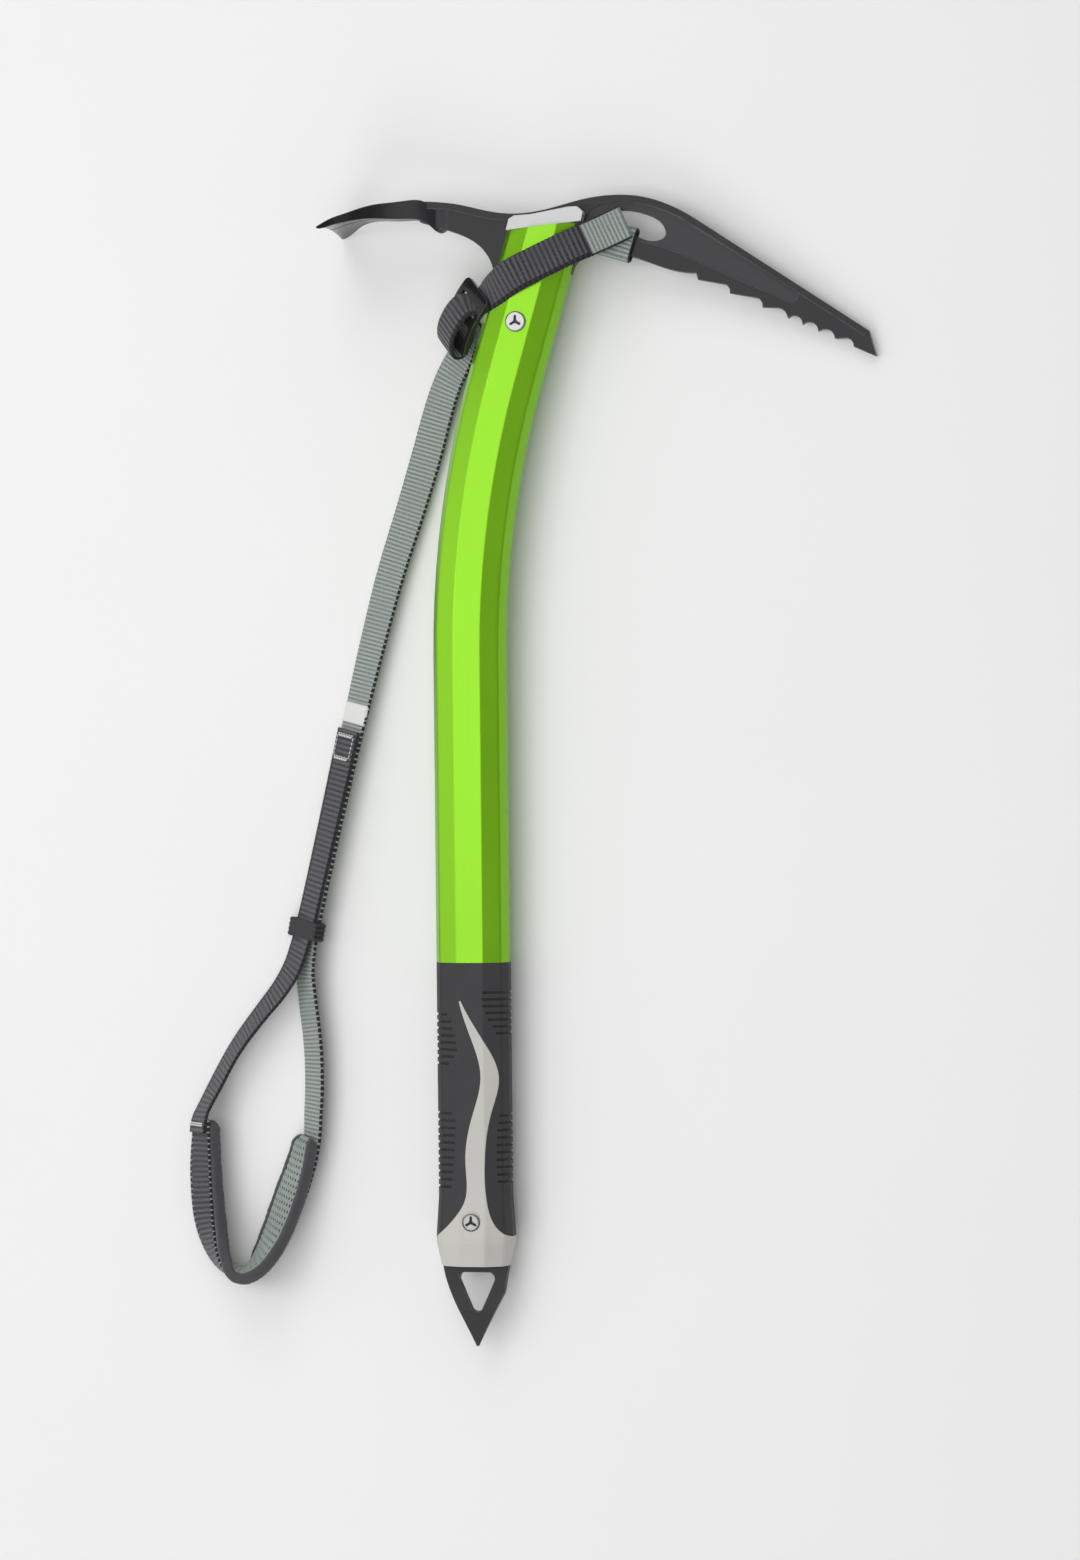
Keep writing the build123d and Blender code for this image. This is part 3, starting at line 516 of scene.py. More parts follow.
MATERIALS = {
    "black_steel": metal_paint(),
    "green_anodised": anodised(),
    "grey_plastic": moulded("warm_grey_plastic", (0.5, 0.495, 0.46), (0.6, 0.59, 0.55), 0.42,
                            edge_tint=(0.7, 0.69, 0.65)),
    "inner_plastic": moulded("dark_plastic", (0.03, 0.03, 0.03), (0.05, 0.05, 0.05), 0.5,
                             edge_tint=(0.08, 0.08, 0.08)),
    "pale_insert": moulded("pale_insert", (0.6, 0.6, 0.62), (0.72, 0.72, 0.74), 0.34,
                           edge_tint=(0.85, 0.85, 0.86)),
    "black_rubber": rubber(),
    "spike_steel": spike_metal(),
    "bright_steel": bright_metal("bolt_steel", BOLT_RECESS),
    "screw_steel": bright_metal("screw_steel", SCREW_RECESS),
    "black_metal": black_chrome(),
    # each webbing's first colour is the painted shade in its rib valleys, the second the painted highlight on its
    # rib crests
    "light_webbing": webbing("light_webbing", (0.15, 0.175, 0.16), (0.36, 0.4, 0.375), RIB_PITCH,
                             fleck=(0.48, 0.51, 0.49)),
    "dark_webbing": webbing("dark_webbing", (0.014, 0.014, 0.018), (0.085, 0.083, 0.095), 2.3,
                            fleck=(0.16, 0.155, 0.17)),
    "selvedge": selvedge("webbing_selvedge", (0.04, 0.04, 0.045)),
    "flecked_selvedge": selvedge("flecked_selvedge", (0.3, 0.31, 0.32)),
    "dark_binding": knit_tape(),
    "pad_mesh": spacer_mesh(),
    "white_thread": thread("white_thread", (0.75, 0.75, 0.74)),
    "white_label": woven_label(),
}


# ---------------------------------------------------------------- mesh helpers
# a spline's steps between two control points, and how far from it its twin, which gives its facing, runs
SPLINE_STEPS = 60
TWIN_AWAY = 5.0
FEWEST_STEPS = 8


def new_piece(name, points, faces, materials, zones=None, uvs=None):
    """A smooth mesh piece from points in mm. zones gives each face's material, uvs each corner's place."""
    mesh = bpy.data.meshes.new(name)
    mesh.from_pydata([tuple(p) for p in np.asarray(points) * MM], [], [tuple(int(i) for i in f) for f in faces])
    for key in materials:
        mesh.materials.append(MATERIALS[key])
    if zones is not None:
        mesh.polygons.foreach_set("material_index", np.asarray(zones, dtype=np.int32))
    if uvs is not None:
        layer = mesh.uv_layers.new(name="weave")
        layer.data.foreach_set("uv", np.asarray(uvs, dtype=np.float32).ravel() / UV_UNIT)
    mesh.polygons.foreach_set("use_smooth", [True] * len(mesh.polygons))
    mesh.update()
    return link(bpy.data.objects.new(name, mesh))


def read_spline(control):
    """Points along the smooth NURBS line whose control points are given."""
    curve = bpy.data.curves.new("route", "CURVE")
    curve.dimensions = "3D"
    spline = curve.splines.new("NURBS")
    spline.points.add(len(control) - 1)
    for point, place in zip(spline.points, control):
        point.co = (*place, 1.0)
    spline.order_u = 3
    spline.use_endpoint_u = True
    curve.resolution_u = SPLINE_STEPS
    obj = link(bpy.data.objects.new("route", curve))
    bpy.context.view_layer.update()
    mesh = bpy.data.meshes.new_from_object(obj)
    points = np.array([v.co for v in mesh.vertices], float)
    bpy.data.objects.remove(obj)
    bpy.data.meshes.remove(mesh)
    bpy.data.curves.remove(curve)
    return points


def along_line(points, step):
    """Evenly spaced arc lengths, and the function that reads any values given at the line's points."""
    runs = np.linalg.norm(np.diff(points, axis=0), axis=1)
    arc = np.concatenate(([0.0], np.cumsum(runs)))
    wanted = np.linspace(0, arc[-1], max(FEWEST_STEPS, int(round(arc[-1] / step))))
    return wanted, lambda values: np.stack([np.interp(wanted, arc, values[:, k]) for k in range(3)], axis=1)


def unit(vectors):
    return vectors / np.linalg.norm(vectors, axis=-1, keepdims=True)


class Route:
    """A smooth line with a facing direction at every point: its control points and their normals."""

    def __init__(self, control, step):
        places = np.array([p for p, _ in control], float)
        facing = unit(np.array([n for _, n in control], float))
        line = read_spline(places)
        tips = read_spline(places + TWIN_AWAY * facing)
        self.arc, read = along_line(line, step)
        self.centre = read(line)
        self.forward = unit(np.gradient(self.centre, axis=0))
        self.side = unit(np.cross(read(tips) - self.centre, self.forward))
        self.up = np.cross(self.forward, self.side)
        self.length = self.arc[-1]


def tube(name, route, section, materials, zones=None, change=None):
    """A closed skin round a route.

    section is the outline (across, up), and change may move it at each place. zones gives the material of each
    strip of faces between two of the outline's points; both ends take the last strip's.
    """
    count, around = len(route.arc), len(section)
    zones = zones or [0] * around
    outline = np.array(section, float)
    points = np.empty((count, around, 3))
    for k in range(count):
        shape = outline if change is None else change(outline, route.arc[k], route.length)
        points[k] = route.centre[k] + shape[:, :1] * route.side[k] + shape[:, 1:] * route.up[k]
    index = np.arange(count * around).reshape(count, around)
    ahead = np.roll(index, -1, axis=1)
    quads = np.stack([index[:-1], ahead[:-1], ahead[1:], index[1:]], axis=-1).reshape(-1, 4)
    faces = quads.tolist() + [index[0][::-1].tolist(), index[-1].tolist()]

    reach = np.concatenate(([0.0], np.cumsum(np.linalg.norm(np.diff(outline, axis=0), axis=1))))
    reach = np.append(reach, reach[-1] + np.linalg.norm(outline[0] - outline[-1]))
    here, there, low, high = np.broadcast_arrays(route.arc[:-1, None], route.arc[1:, None],
                                                 reach[None, :-1], reach[None, 1:])
    corners = [np.stack(pair, axis=-1) for pair in ((here, low), (here, high), (there, high), (there, low))]
    start_cap = [[route.arc[0], v] for v in reach[-2::-1]]
    end_cap = [[route.arc[-1], v] for v in reach[:-1]]
    uvs = np.concatenate([np.stack(corners, axis=2).reshape(-1, 2), start_cap, end_cap])
    face_zones = zones * (count - 1) + [zones[-1]] * 2
    return new_piece(name, points.reshape(-1, 3), faces, materials, face_zones, uvs)


# which of a strap's three materials each strip of its faces takes
LIGHT, DARK, EDGE = 0, 1, 2
LIGHT_RIB = 0.11
DARK_RIB = 0.13
SCALLOP = 0.012
EDGE_HALF = 0.25
SHOULDER = 0.08


def strap(name, route, light_pitch, dark_pitch, materials=("light_webbing", "dark_webbing", "selvedge")):
    """Two-tone webbing: real ribs across both faces, and a scalloped selvedge."""
    half, thick = WEBBING_WIDTH / 2, WEBBING / 2
    across = [-half + 0.5, -5.6, -3.8, -1.9, 0.0, 1.9, 3.8, 5.6, half - 0.9, half - 0.35]
    top = [(a, thick - SHOULDER) for a in across]
    bottom = [(a, -thick + SHOULDER) for a in reversed(across)]
    section = top + [(half, EDGE_HALF), (half, -EDGE_HALF)] + bottom + [(-half, -EDGE_HALF), (-half, EDGE_HALF)]
    zones = [LIGHT] * 8 + [EDGE] * 4 + [DARK] * 8 + [EDGE] * 4
    count = len(across)
    edges = [0, count - 2, count - 1, count, count + 1, count + 2, -1, -2, -3]

    def ribs(outline, arc, length):
        shape = outline.copy()
        light = math.cos(2 * math.pi * arc / light_pitch)
        dark = math.cos(2 * math.pi * arc / dark_pitch)
        shape[1:count - 1, 1] += LIGHT_RIB * light
        shape[count + 3:2 * count + 1, 1] -= DARK_RIB * dark
        shape[edges, 0] *= 1 + SCALLOP * light
        return shape

    return tube(name, route, section, materials, zones, ribs)


THREAD = 0.5
STITCH = 1.9
STITCH_GAP = 0.12
STITCH_BLUNT = 0.12
STITCH_RISE = 0.3
STITCH_RINGS, STITCH_SIDES = 7, 8


def stitches(name, rows, material):
    """Thread stitches: rows of (start, end, up), each laid as short fat capsules that dip at both ends."""
    points, faces = [], []
    rings, sides = STITCH_RINGS, STITCH_SIDES
    for start, end, up in rows:
        start, end, up = (np.array(x, float) for x in (start, end, up))
        run = end - start
        count = max(1, int(round(np.linalg.norm(run) / STITCH)))
        forward, up = unit(run), unit(up)
        side = np.cross(up, forward)
        for k in range(count):
            a = start + run * (k + STITCH_GAP) / count
            b = start + run * (k + 1 - STITCH_GAP) / count
            base = len(points)
            for r in range(rings):
                t = r / (rings - 1)
                lift = STITCH_RISE * math.sin(math.pi * t)
                bulge = math.sin(math.pi * min(max(t, STITCH_BLUNT), 1 - STITCH_BLUNT))
                size = THREAD / 2 * (0.35 + 0.65 * bulge)
                middle = a + (b - a) * t + up * lift * THREAD
                for q in range(sides):
                    angle = 2 * math.pi * q / sides
                    points.append(middle + size * (math.cos(angle) * side + math.sin(angle) * up))
            for r in range(rings - 1):
                for q in range(sides):
                    n = (q + 1) % sides
                    faces.append((base + r * sides + q, base + (r + 1) * sides + q,
                                  base + (r + 1) * sides + n, base + r * sides + n))
            faces.append([base + q for q in range(sides)])
            faces.append([base + (rings - 1) * sides + q for q in reversed(range(sides))])
    return new_piece(name, points, faces, [material])


# ---------------------------------------------------------------- leash straps
def on_axe(s, w):
    """A point s along the strap's run over the shaft and w over the axe's middle plane."""
    return STRAP_START + s * STRAP_RUN + w * AXE_W


def on_buckle(x, y, h):
    return BUCKLE_O + x * BUCKLE_X + y * BUCKLE_Y + h * BUCKLE_H


def buckle_way(y, h):
    return y * BUCKLE_Y + h * BUCKLE_H


# from the eye band over the shaft, through the buckle and round its end bar: places, and the light face's way
HEAD_STRAP_ROUTE = [
    (on_axe(9.3, 9.7), AXE_W), (on_axe(3.0, 8.1), AXE_W), (on_axe(-3.5, 7.3), AXE_W), (on_axe(-7.6, 7.2), AXE_W),
    (on_axe(-9.3, 6.3), -STRAP_RUN), (on_axe(-7.6, 5.3), -AXE_W), (on_axe(-3.0, 5.4), -AXE_W),
    (on_axe(2.0, 5.9), -AXE_W), (on_axe(8.5, 7.7), -AXE_W), (on_axe(16.0, 11.6), -AXE_W),
    (on_axe(26.0, 12.6), -AXE_W), (on_axe(37.0, 12.5), -AXE_W), (on_axe(45.5, 12.4), -AXE_W),
    (on_buckle(-5.5, -3.5, -2.0), -AXE_W - BUCKLE_H), (on_buckle(-3.0, 2.5, -3.6), -BUCKLE_H),
    (on_buckle(-1.0, 7.0, -2.2), buckle_way(0.7, -0.7)), (on_buckle(0.0, 9.6, 1.0), buckle_way(0.6, -0.8)),
    (on_buckle(0.0, 14.0, 1.6), -BUCKLE_H), (on_buckle(0.0, 19.0, 0.8), buckle_way(-0.15, -1)),
    (on_buckle(0.0, 24.5, -1.2), buckle_way(-0.45, -0.9)), (on_buckle(0.0, 29.2, -5.2), buckle_way(-0.85, -0.5)),
    (on_buckle(0.0, 31.0, -9.5), buckle_way(-1, 0)), (on_buckle(0.0, 28.0, -12.6), buckle_way(-0.4, 0.9)),
    (on_buckle(0.0, 23.0, -11.2), buckle_way(0.2, 1)), (on_buckle(0.0, 17.0, -8.0), buckle_way(0.3, 0.95)),
]


def lean(degrees, heading=(0, 1)):
    """The light face's direction of a strap whose right edge is raised by degrees."""
    a = math.radians(degrees)
    x, y = heading
    return np.array([-math.sin(a) * y, math.sin(a) * x, math.cos(a)])


# the wrist pad's middle line: x, y, z, degrees that its upper edge leans to the left of its run, and width
PAD_ROWS = [
    (-184.8, -153.0, 8.6, 44, 15.0), (-185.7, -167.0, 9.1, 54, 16.4), (-185.2, -184.0, 9.8, 57, 18.3),
    (-183.3, -200.0, 10.6, 52, 20.0), (-177.5, -215.5, 11.5, 28, 21.2), (-168.5, -222.5, 11.3, -4, 21.6),
    (-159.5, -216.0, 11.6, -30, 21.2), (-152.5, -203.0, 10.3, -46, 20.1), (-146.5, -186.0, 8.9, -53, 18.4),
    (-141.5, -171.0, 8.2, -51, 16.2), (-139.0, -160.0, 8.0, -46, 15.0),
]
PAD_THICK = 5.0
BESIDE_PAD = PAD_THICK / 2 + WEBBING / 2
OVER_BESIDE_PAD = PAD_THICK / 2 + 1.5 * WEBBING + 0.1


def pad_control():
    """The pad's middle line with the way its inner face looks."""
    rows = np.array(PAD_ROWS, float)
    runs = unit(np.gradient(rows[:, :3] * (1, 1, 0), axis=0))
    made = []
    for (x, y, z, tilt, _), run in zip(rows, runs):
        left = np.array([-run[1], run[0], 0.0])
        a = math.radians(tilt)
        made.append(((x, y, z), left * math.cos(a) - np.array([0, 0, math.sin(a)])))
    return made


PAD_CONTROL = pad_control()


def outside_pad(row, depth):
    """A point that deep beyond the pad's middle on its outside, with the way the light face looks there."""
    place, inward = PAD_CONTROL[row]
    return (tuple(np.array(place) - depth * inward), inward)


# from under the buckle down to the pad's right end, then along the pad's outside to its left end
LEASH_ROUTE = [
    ((-56.0, 198.5, 14.0), (-0.45, 0.30, 0.84)), ((-61.5, 190.0, 8.8), (-0.42, 0.28, 0.86)),
    ((-67.0, 181.5, 6.0), lean(22)), ((-72.8, 172.0, 4.2), lean(18)),
    ((-77.8, 158.0, 3.2), lean(13)), ((-82.3, 142.0, 2.7), lean(10)), ((-90.5, 116.0, 2.9), lean(14)),
    ((-100.0, 88.0, 3.4), lean(19)), ((-107.5, 60.0, 3.9), lean(24)), ((-113.5, 36.0, 4.6), lean(29)),
    ((-119.5, 11.0, 5.2), lean(35)), ((-130.0, -35.5, 5.8), lean(41)), ((-140.5, -82.0, 6.1), lean(43)),
    ((-138.5, -101.0, 6.0), lean(41)), ((-136.0, -119.5, 6.1), lean(41)), ((-135.6, -138.0, 6.1), lean(41)),
    ((-136.4, -150.5, 6.0), lean(42)),
    *[outside_pad(row, BESIDE_PAD) for row in reversed(range(len(PAD_ROWS)))],
]


def dark_up(degrees):
    """The light face's direction of the wrist strap, whose dark face is up and right edge raised."""
    return -lean(degrees)


# from the pad's left end up to the long strap, and along it to the hem
WRIST_ROUTE = [
    ((-188.6, -158.6, 12.4), outside_pad(0, 0)[1]), outside_pad(0, OVER_BESIDE_PAD),
    ((-185.0, -144.5, 8.9), (0.76, -0.25, -0.6)), ((-180.6, -136.0, 8.0), (0.72, -0.33, -0.61)),
    ((-172.3, -121.0, 7.8), (0.71, -0.38, -0.59)), ((-161.0, -106.5, 7.8), (0.70, -0.37, -0.61)),
    ((-149.8, -93.5, 7.6), (0.66, -0.30, -0.69)), ((-142.4, -79.8, 7.6), dark_up(43)),
    ((-131.4, -35.5, 7.25), dark_up(41)), ((-118.6, 19.9, 6.6), dark_up(35)),
]

# once round the bar of the head under its eye: control points of the band's middle line, out from the bar's
# middle and over the axe's middle plane
BAR_TILT = 17
BAR_MIDDLE = AXE_O + 67.0 * AXE_U + 480.6 * AXE_V
BAND_FLATNESS = 0.35
EYE_BAND = [(-7.2, 0.4), (-7.2, 3.2), (-5.0, 4.1), (0.0, 4.2), (5.2, 4.1), (6.9, 2.6), (6.9, -2.6), (5.2, -3.9),
            (-5.2, -3.9), (-7.2, -2.8), (-7.2, -0.4)]


def eye_band():
    """The webbing that goes round the head's bar; its two ends meet under the strap."""
    tilt = math.radians(BAR_TILT)
    limb = math.cos(tilt) * AXE_U - math.sin(tilt) * AXE_V
    out = np.cross(AXE_W, limb)
    control = [(BAR_MIDDLE + s * out + w * AXE_W, unit(s * BAND_FLATNESS * out + w * AXE_W)) for s, w in EYE_BAND]
    piece = strap("eye_webbing", Route(control, STRAP_STEP), RIB_PITCH, WIDE_RIB_PITCH)
    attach(piece, "axe")
    return piece


def head_strap():
    """The strap from the head's eye over the shaft to the buckle."""
    band = eye_band()
    route = Route(HEAD_STRAP_ROUTE, STRAP_STEP)
    piece = strap("head_strap_webbing", route, RIB_PITCH, WIDE_RIB_PITCH)
    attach(piece, "axe")
    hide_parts("head_strap", "buckle_loop", "eye_loop")


def leash_strap():
    """The strap from the buckle to the pad and along its outside."""
    route = Route(LEASH_ROUTE, STRAP_STEP)
    materials = ("light_webbing", "dark_webbing", "flecked_selvedge")
    piece = strap("leash_webbing", route, RIB_PITCH, RIB_PITCH, materials)
    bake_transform(piece)
    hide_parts("long_strap", "pad_webbing")
    return route


def wrist_strap():
    """The strap from the pad's left end to the hem."""
    route = Route(WRIST_ROUTE, STRAP_STEP)
    piece = strap("wrist_webbing", route, RIB_PITCH, RIB_PITCH)
    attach(piece, "leash")
    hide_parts("wrist_strap")
    return route


# ---------------------------------------------------------------- CAD nodes
# each visible CAD node's material
MATERIAL_OF = {
    "head": "black_steel", "head_insert_front": "pale_insert", "head_insert_back": "pale_insert",
    "head_bolt": "bright_steel", "head_sleeve": "bright_steel", "shaft": "green_anodised",
    "grip_sleeve": "black_rubber", "ferrule": "grey_plastic", "spike": "spike_steel",
    "spike_wedge_front": "inner_plastic", "spike_wedge_back": "inner_plastic", "spike_screw": "screw_steel",
    "spike_sleeve": "screw_steel", "buckle": "black_metal",
}


def finish_cad_nodes():
    for name, key in MATERIAL_OF.items():
        for slot in NODES[name].material_slots:
            slot.material = MATERIALS[key]


# ---------------------------------------------------------------- wrist pad
PAD_STEP = 0.35
INNER_POINTS, OUTER_POINTS = 56, 7
END_TAPER = 4.0
UNDER_TAPE = 1.2
INNER_RISE = 0.5
# the air mesh's diamonds: how long and wide, how deep, and how far across the pad they go
DIAMOND_LONG, DIAMOND_WIDE = 2.9, 1.9
HOLE_DEPTH = 0.75
MESH_SHARE = 0.93
MESH_FACE, PLAIN_FACE = 0, 1
# the tape's half width and half height, and how far its middle lies in from the pad's edge
TAPE_ACROSS, TAPE_TALL = 1.5, 2.75
TAPE_INSIDE = 1.3
TAPE_END = 3.0
TAPE_POINTS = 20


def pad_half_width(share):
    """Half the pad's width at a share of its length."""
    places = np.array([row[:2] for row in PAD_ROWS])
    runs = np.concatenate(([0.0], np.cumsum(np.linalg.norm(np.diff(places, axis=0), axis=1))))
    return 0.5 * np.interp(share, runs / runs[-1], [row[4] for row in PAD_ROWS])


def wrist_pad():
    """The folded pad: a crowned inner face of air mesh with real dents, and a flat outer face."""
    route = Route(PAD_CONTROL, PAD_STEP)
    inner = INNER_POINTS
    section = [(a, 1.0) for a in np.linspace(-1, 1, inner)] + [(1.0, 0.3), (1.0, -0.6)]
    section += [(a, -1.0) for a in np.linspace(0.9, -0.9, OUTER_POINTS)] + [(-1.0, -0.6), (-1.0, 0.3)]
    holes = []

    def shape(outline, arc, length):
        half = pad_half_width(arc / length) - UNDER_TAPE
        taper = min(1.0, math.sqrt(max(0.02, min(arc, length - arc) / END_TAPER)))
        made = outline * (half, PAD_THICK / 2 * taper)
        made[:, 0] *= 0.75 + 0.25 * taper
        crown = 0.35 + 0.65 * np.sqrt(np.clip(1 - outline[:inner, 0] ** 2, 0, 1))
        along, x = arc / DIAMOND_LONG, made[:inner, 0] / DIAMOND_WIDE
        cell = np.cos(math.pi * (along + x)) * np.cos(math.pi * (along - x))
        hole = np.clip((cell - 0.18) / 0.5, 0, 1) * (np.abs(outline[:inner, 0]) < MESH_SHARE)
        made[:inner, 1] = (PAD_THICK / 2 * crown + INNER_RISE) * taper - HOLE_DEPTH * hole
        holes.append(np.concatenate([hole, np.zeros(len(outline) - inner)]))
        return made

    zones = [MESH_FACE] * (inner - 1) + [PLAIN_FACE] * (len(section) - inner + 1)
    pad = tube("wrist_pad_body", route, section, ["pad_mesh", "dark_binding"], zones, shape)
    # the hole attribute also sets the painted shade in the mesh's holes
    layer = pad.data.attributes.new("hole", "FLOAT", "POINT")
    layer.data.foreach_set("value", np.concatenate(holes).astype(np.float32))
    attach(pad, "leash")
    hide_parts("wrist_pad")
    return route


def tape_outline():
    """A rounded box, as corners that go once round it."""
    outline = []
    for k in range(TAPE_POINTS):
        angle = 2 * math.pi * k / TAPE_POINTS
        c, s = math.cos(angle), math.sin(angle)
        outline.append((TAPE_ACROSS * math.copysign(abs(c) ** 0.7, c), TAPE_TALL * math.copysign(abs(s) ** 0.75, s)))
    return outline


def pad_binding(route):
    """The tape folded round the pad's upper and lower edges."""
    half = np.array([pad_half_width(a / route.length) for a in route.arc])
    ends = np.minimum(1.0, np.sqrt(np.clip(np.minimum(route.arc, route.length - route.arc) / END_TAPER, 0.02, 1)))
    beside = half * (0.72 + 0.28 * ends) - TAPE_INSIDE
    for side, name in ((1, "binding_upper"), (-1, "binding_lower")):
        edge = copy.copy(route)
        edge.centre = route.centre - route.side * (side * beside)[:, None]

        def shape(base, arc, length):
            taper = min(1.0, math.sqrt(max(0.05, min(arc, length - arc) / TAPE_END)))
            wobble = 1 + 0.03 * math.sin(arc * 0.55 + side) + 0.02 * math.sin(arc * 1.9)
            return base * (wobble, taper * wobble)

        piece = tube(name, edge, tape_outline(), ["dark_binding"], None, shape)
        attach(piece, "leash")
    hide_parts("pad_binding")


# ---------------------------------------------------------------- label, stitches and slider
LABEL_MIDDLE = (-115.2, 26.8, 2.8)
LABEL_WIDE, LABEL_LONG = 14.8, 9.0
LABEL_ROWS, LABEL_COLS = 26, 14
# the label's two faces over the strap, and where its ends start to turn down
LABEL_FACES = (0.55, 0.15)
LABEL_FLAT = 6.4


def care_label(strap_route):
    """The blank label sewn over the long strap's light face, its ends turned down round the edges."""
    k = int(np.argmin(np.linalg.norm(strap_route.centre - np.array(LABEL_MIDDLE), axis=1)))
    base, forward, side, up = (values[k] for values in (strap_route.centre, strap_route.forward,
                                                        strap_route.side, strap_route.up))
    points, faces, uvs = [], [], []
    rows, cols = LABEL_ROWS, LABEL_COLS
    for lift in LABEL_FACES:
        for r in range(rows):
            for c in range(cols):
                x = (r / (rows - 1) - 0.5) * LABEL_WIDE
                y = (c / (cols - 1) - 0.5) * LABEL_LONG
                droop = 0.9 * max(0.0, abs(x) - LABEL_FLAT)
                wave_up = 0.12 * math.sin(1.1 * y + 0.4 * x)
                points.append(base + side * x + forward * y + up * (WEBBING / 2 + lift + wave_up - droop))
    grid = cols * rows
    for layer, flip in ((0, False), (grid, True)):
        for r in range(rows - 1):
            for c in range(cols - 1):
                first = layer + r * cols + c
                quad = [first, first + cols, first + cols + 1, first + 1]
                faces.append(quad[::-1] if flip else quad)
    ring = [r * cols for r in range(rows)] + [(rows - 1) * cols + c for c in range(1, cols)]
    ring += [r * cols + cols - 1 for r in reversed(range(rows - 1))] + [c for c in reversed(range(1, cols - 1))]
    for a, b in zip(ring, ring[1:] + ring[:1]):
        faces.append([b, a, a + grid, b + grid])
    for face in faces:
        for i in face:
            uvs.append(((i % grid) // cols * LABEL_WIDE / (rows - 1), (i % cols) * LABEL_LONG / (cols - 1)))
    label = new_piece("care_label", points, faces, ["white_label"], None, uvs)
    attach(label, "leash")
    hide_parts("label")


# the sewn box on the wrist strap: its two ends from the hem, its four threads each, and its sides
BOX_ENDS = (2.2, 12.4)
BOX_THREADS = (0.0, 0.4, 0.8, 1.2)
BOX_LEFT, BOX_RIGHT = -5.4, 5.8
BOX_SIDES = (-5.7, 5.7)
BOX_SIDE_FROM = 2.6
# the rows of thread at the strap's other end, on the pad
TACK_ROWS = 4
TACK_START, TACK_PITCH, TACK_HALF = 3.0, 0.45, 6.2


def box_thread(route):
    """The white box stitching on the wrist strap, and the rows that hold its other end to the pad."""
    def on_strap(x, y):
        j = int(np.argmin(np.abs(route.arc - (route.length - y))))
        return route.centre[j] - route.up[j] * (WEBBING / 2 + 0.18) - route.side[j] * x, -route.up[j]

    lines = []
    for y in BOX_ENDS:
        for offset in BOX_THREADS:
            a, up = on_strap(BOX_LEFT + offset, y + offset)
            b, _ = on_strap(BOX_RIGHT - offset / 2, y + offset)
            lines.append((a, b, up))
    for x in BOX_SIDES:
        (a, up), (b, _) = on_strap(x, BOX_SIDE_FROM), on_strap(x, BOX_ENDS[1])
        lines.append((a, b, up))
    for row in range(TACK_ROWS):
        j = int(np.argmin(np.abs(route.arc - (TACK_START + TACK_PITCH * row))))
        face = route.centre[j] - route.up[j] * (WEBBING / 2 + 0.15)
        lines.append((face - route.side[j] * TACK_HALF, face + route.side[j] * TACK_HALF, -route.up[j]))
    piece = stitches("box_thread", lines, "white_thread")
    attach(piece, "leash")
    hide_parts("box_stitching")


SLIDER_PLACE = (-137.4, -68.3)
SLIDER_LEAN = 32
SLIDER_LIFT = 0.95
SLIDER_NUDGE = (-0.9, 0, -0.2)
SLIDER_HALF_WIDTH, SLIDER_HALF_HEIGHT, SLIDER_WALL, SLIDER_LENGTH = 8.9, 3.5, 0.9, 8.2
SLIDER_SLICES = 45
SLIDER_RIBS = 4
SLIDER_RIB = 0.75
FLANK = 1.6
LIP = 0.35
LIP_LENGTH = 0.6
CORNER_POINTS = 6
CORNER_STEP = 18


def round_cornered(width, height, corner):
    """The corners of a box with rounded edges, given its half width and half height."""
    shape = []
    for sx, sy, start in ((1, 1, 0), (-1, 1, 90), (-1, -1, 180), (1, -1, 270)):
        for q in range(CORNER_POINTS):
            a = math.radians(start + CORNER_STEP * q)
            shape.append((sx * (width - corner) + corner * math.cos(a),
                          sy * (height - corner) + corner * math.sin(a)))
    return np.array(shape)


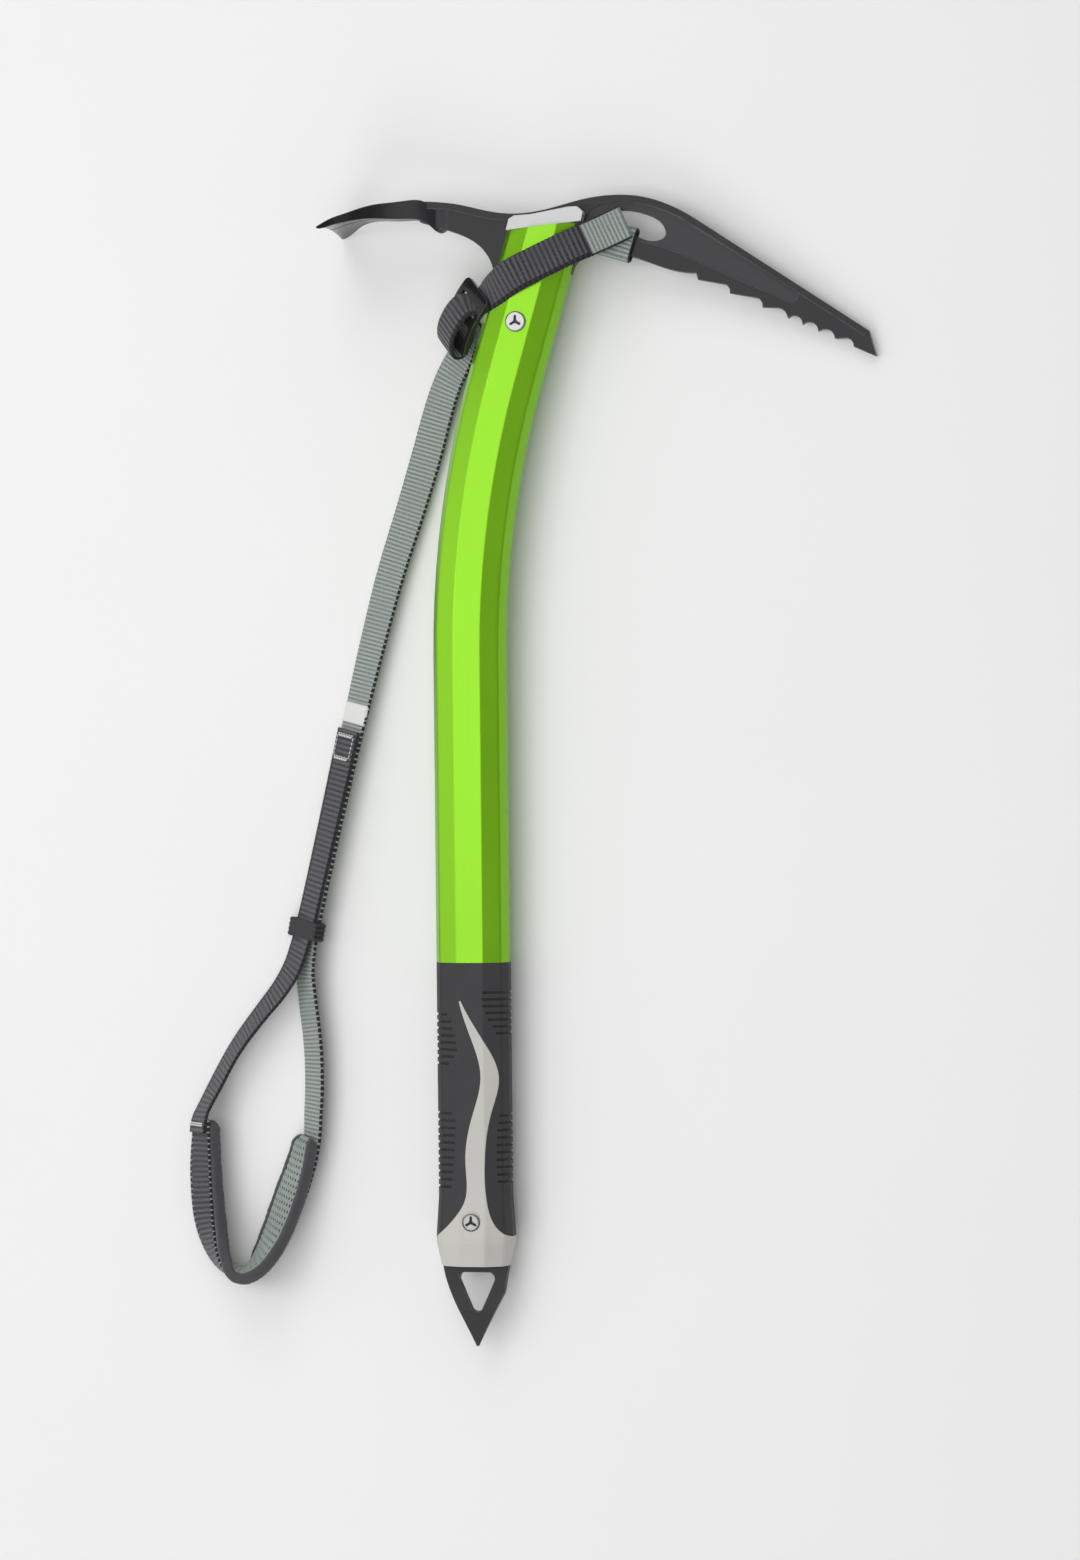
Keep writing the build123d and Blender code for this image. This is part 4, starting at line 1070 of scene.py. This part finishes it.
def slider(strap_route):
    """The rubber keeper: a flat ring round both straps with ribs down its two sides."""
    k = int(np.argmin(np.linalg.norm(strap_route.centre[:, :2] - np.array(SLIDER_PLACE), axis=1)))
    forward = -strap_route.forward[k]
    facing = lean(SLIDER_LEAN)
    up = unit(facing - forward * (facing @ forward))
    side = np.cross(up, -forward)
    centre = strap_route.centre[k] + strap_route.up[k] * SLIDER_LIFT + np.array(SLIDER_NUDGE)
    outer = round_cornered(SLIDER_HALF_WIDTH, SLIDER_HALF_HEIGHT, 1.5)
    inner = round_cornered(SLIDER_HALF_WIDTH - SLIDER_WALL, SLIDER_HALF_HEIGHT - SLIDER_WALL, 0.5)
    rings = []
    for r in range(SLIDER_SLICES):
        t = r / (SLIDER_SLICES - 1)
        y = (t - 0.5) * SLIDER_LENGTH
        end = min(t, 1 - t) * SLIDER_LENGTH
        soft = LIP * (1 - math.sqrt(1 - (1 - min(end / LIP_LENGTH, 1.0)) ** 2))
        rib = SLIDER_RIB * (0.5 - 0.5 * math.cos(2 * math.pi * t * SLIDER_RIBS)) ** 0.6
        shape = outer.copy()
        flank = np.clip((np.abs(shape[:, 0]) - SLIDER_HALF_WIDTH + FLANK) / FLANK, 0, 1)
        shape[:, 0] += np.sign(shape[:, 0]) * flank * rib
        shape *= 1 - soft / SLIDER_HALF_HEIGHT * np.array([0.35, 1.0])
        rings.append(centre + forward * y + shape[:, :1] * side + shape[:, 1:] * up)
    for r in reversed(range(SLIDER_SLICES)):
        y = (r / (SLIDER_SLICES - 1) - 0.5) * SLIDER_LENGTH
        rings.append(centre + forward * y + inner[:, :1] * side + inner[:, 1:] * up)
    points = np.array(rings)
    count, around = points.shape[:2]
    index = np.arange(count * around).reshape(count, around)
    ahead = np.roll(index, -1, axis=1)
    following, following_ahead = np.roll(index, -1, axis=0), np.roll(ahead, -1, axis=0)
    faces = np.stack([index, ahead, following_ahead, following], axis=-1).reshape(-1, 4)
    piece = new_piece("slider_rubber", points.reshape(-1, 3), faces, ["black_rubber"])
    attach(piece, "keeper")
    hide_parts("slider")


camera()
studio()
head_strap()
leash_route = leash_strap()
wrist_route = wrist_strap()
finish_cad_nodes()
pad_binding(wrist_pad())
care_label(leash_route)
box_thread(wrist_route)
slider(leash_route)
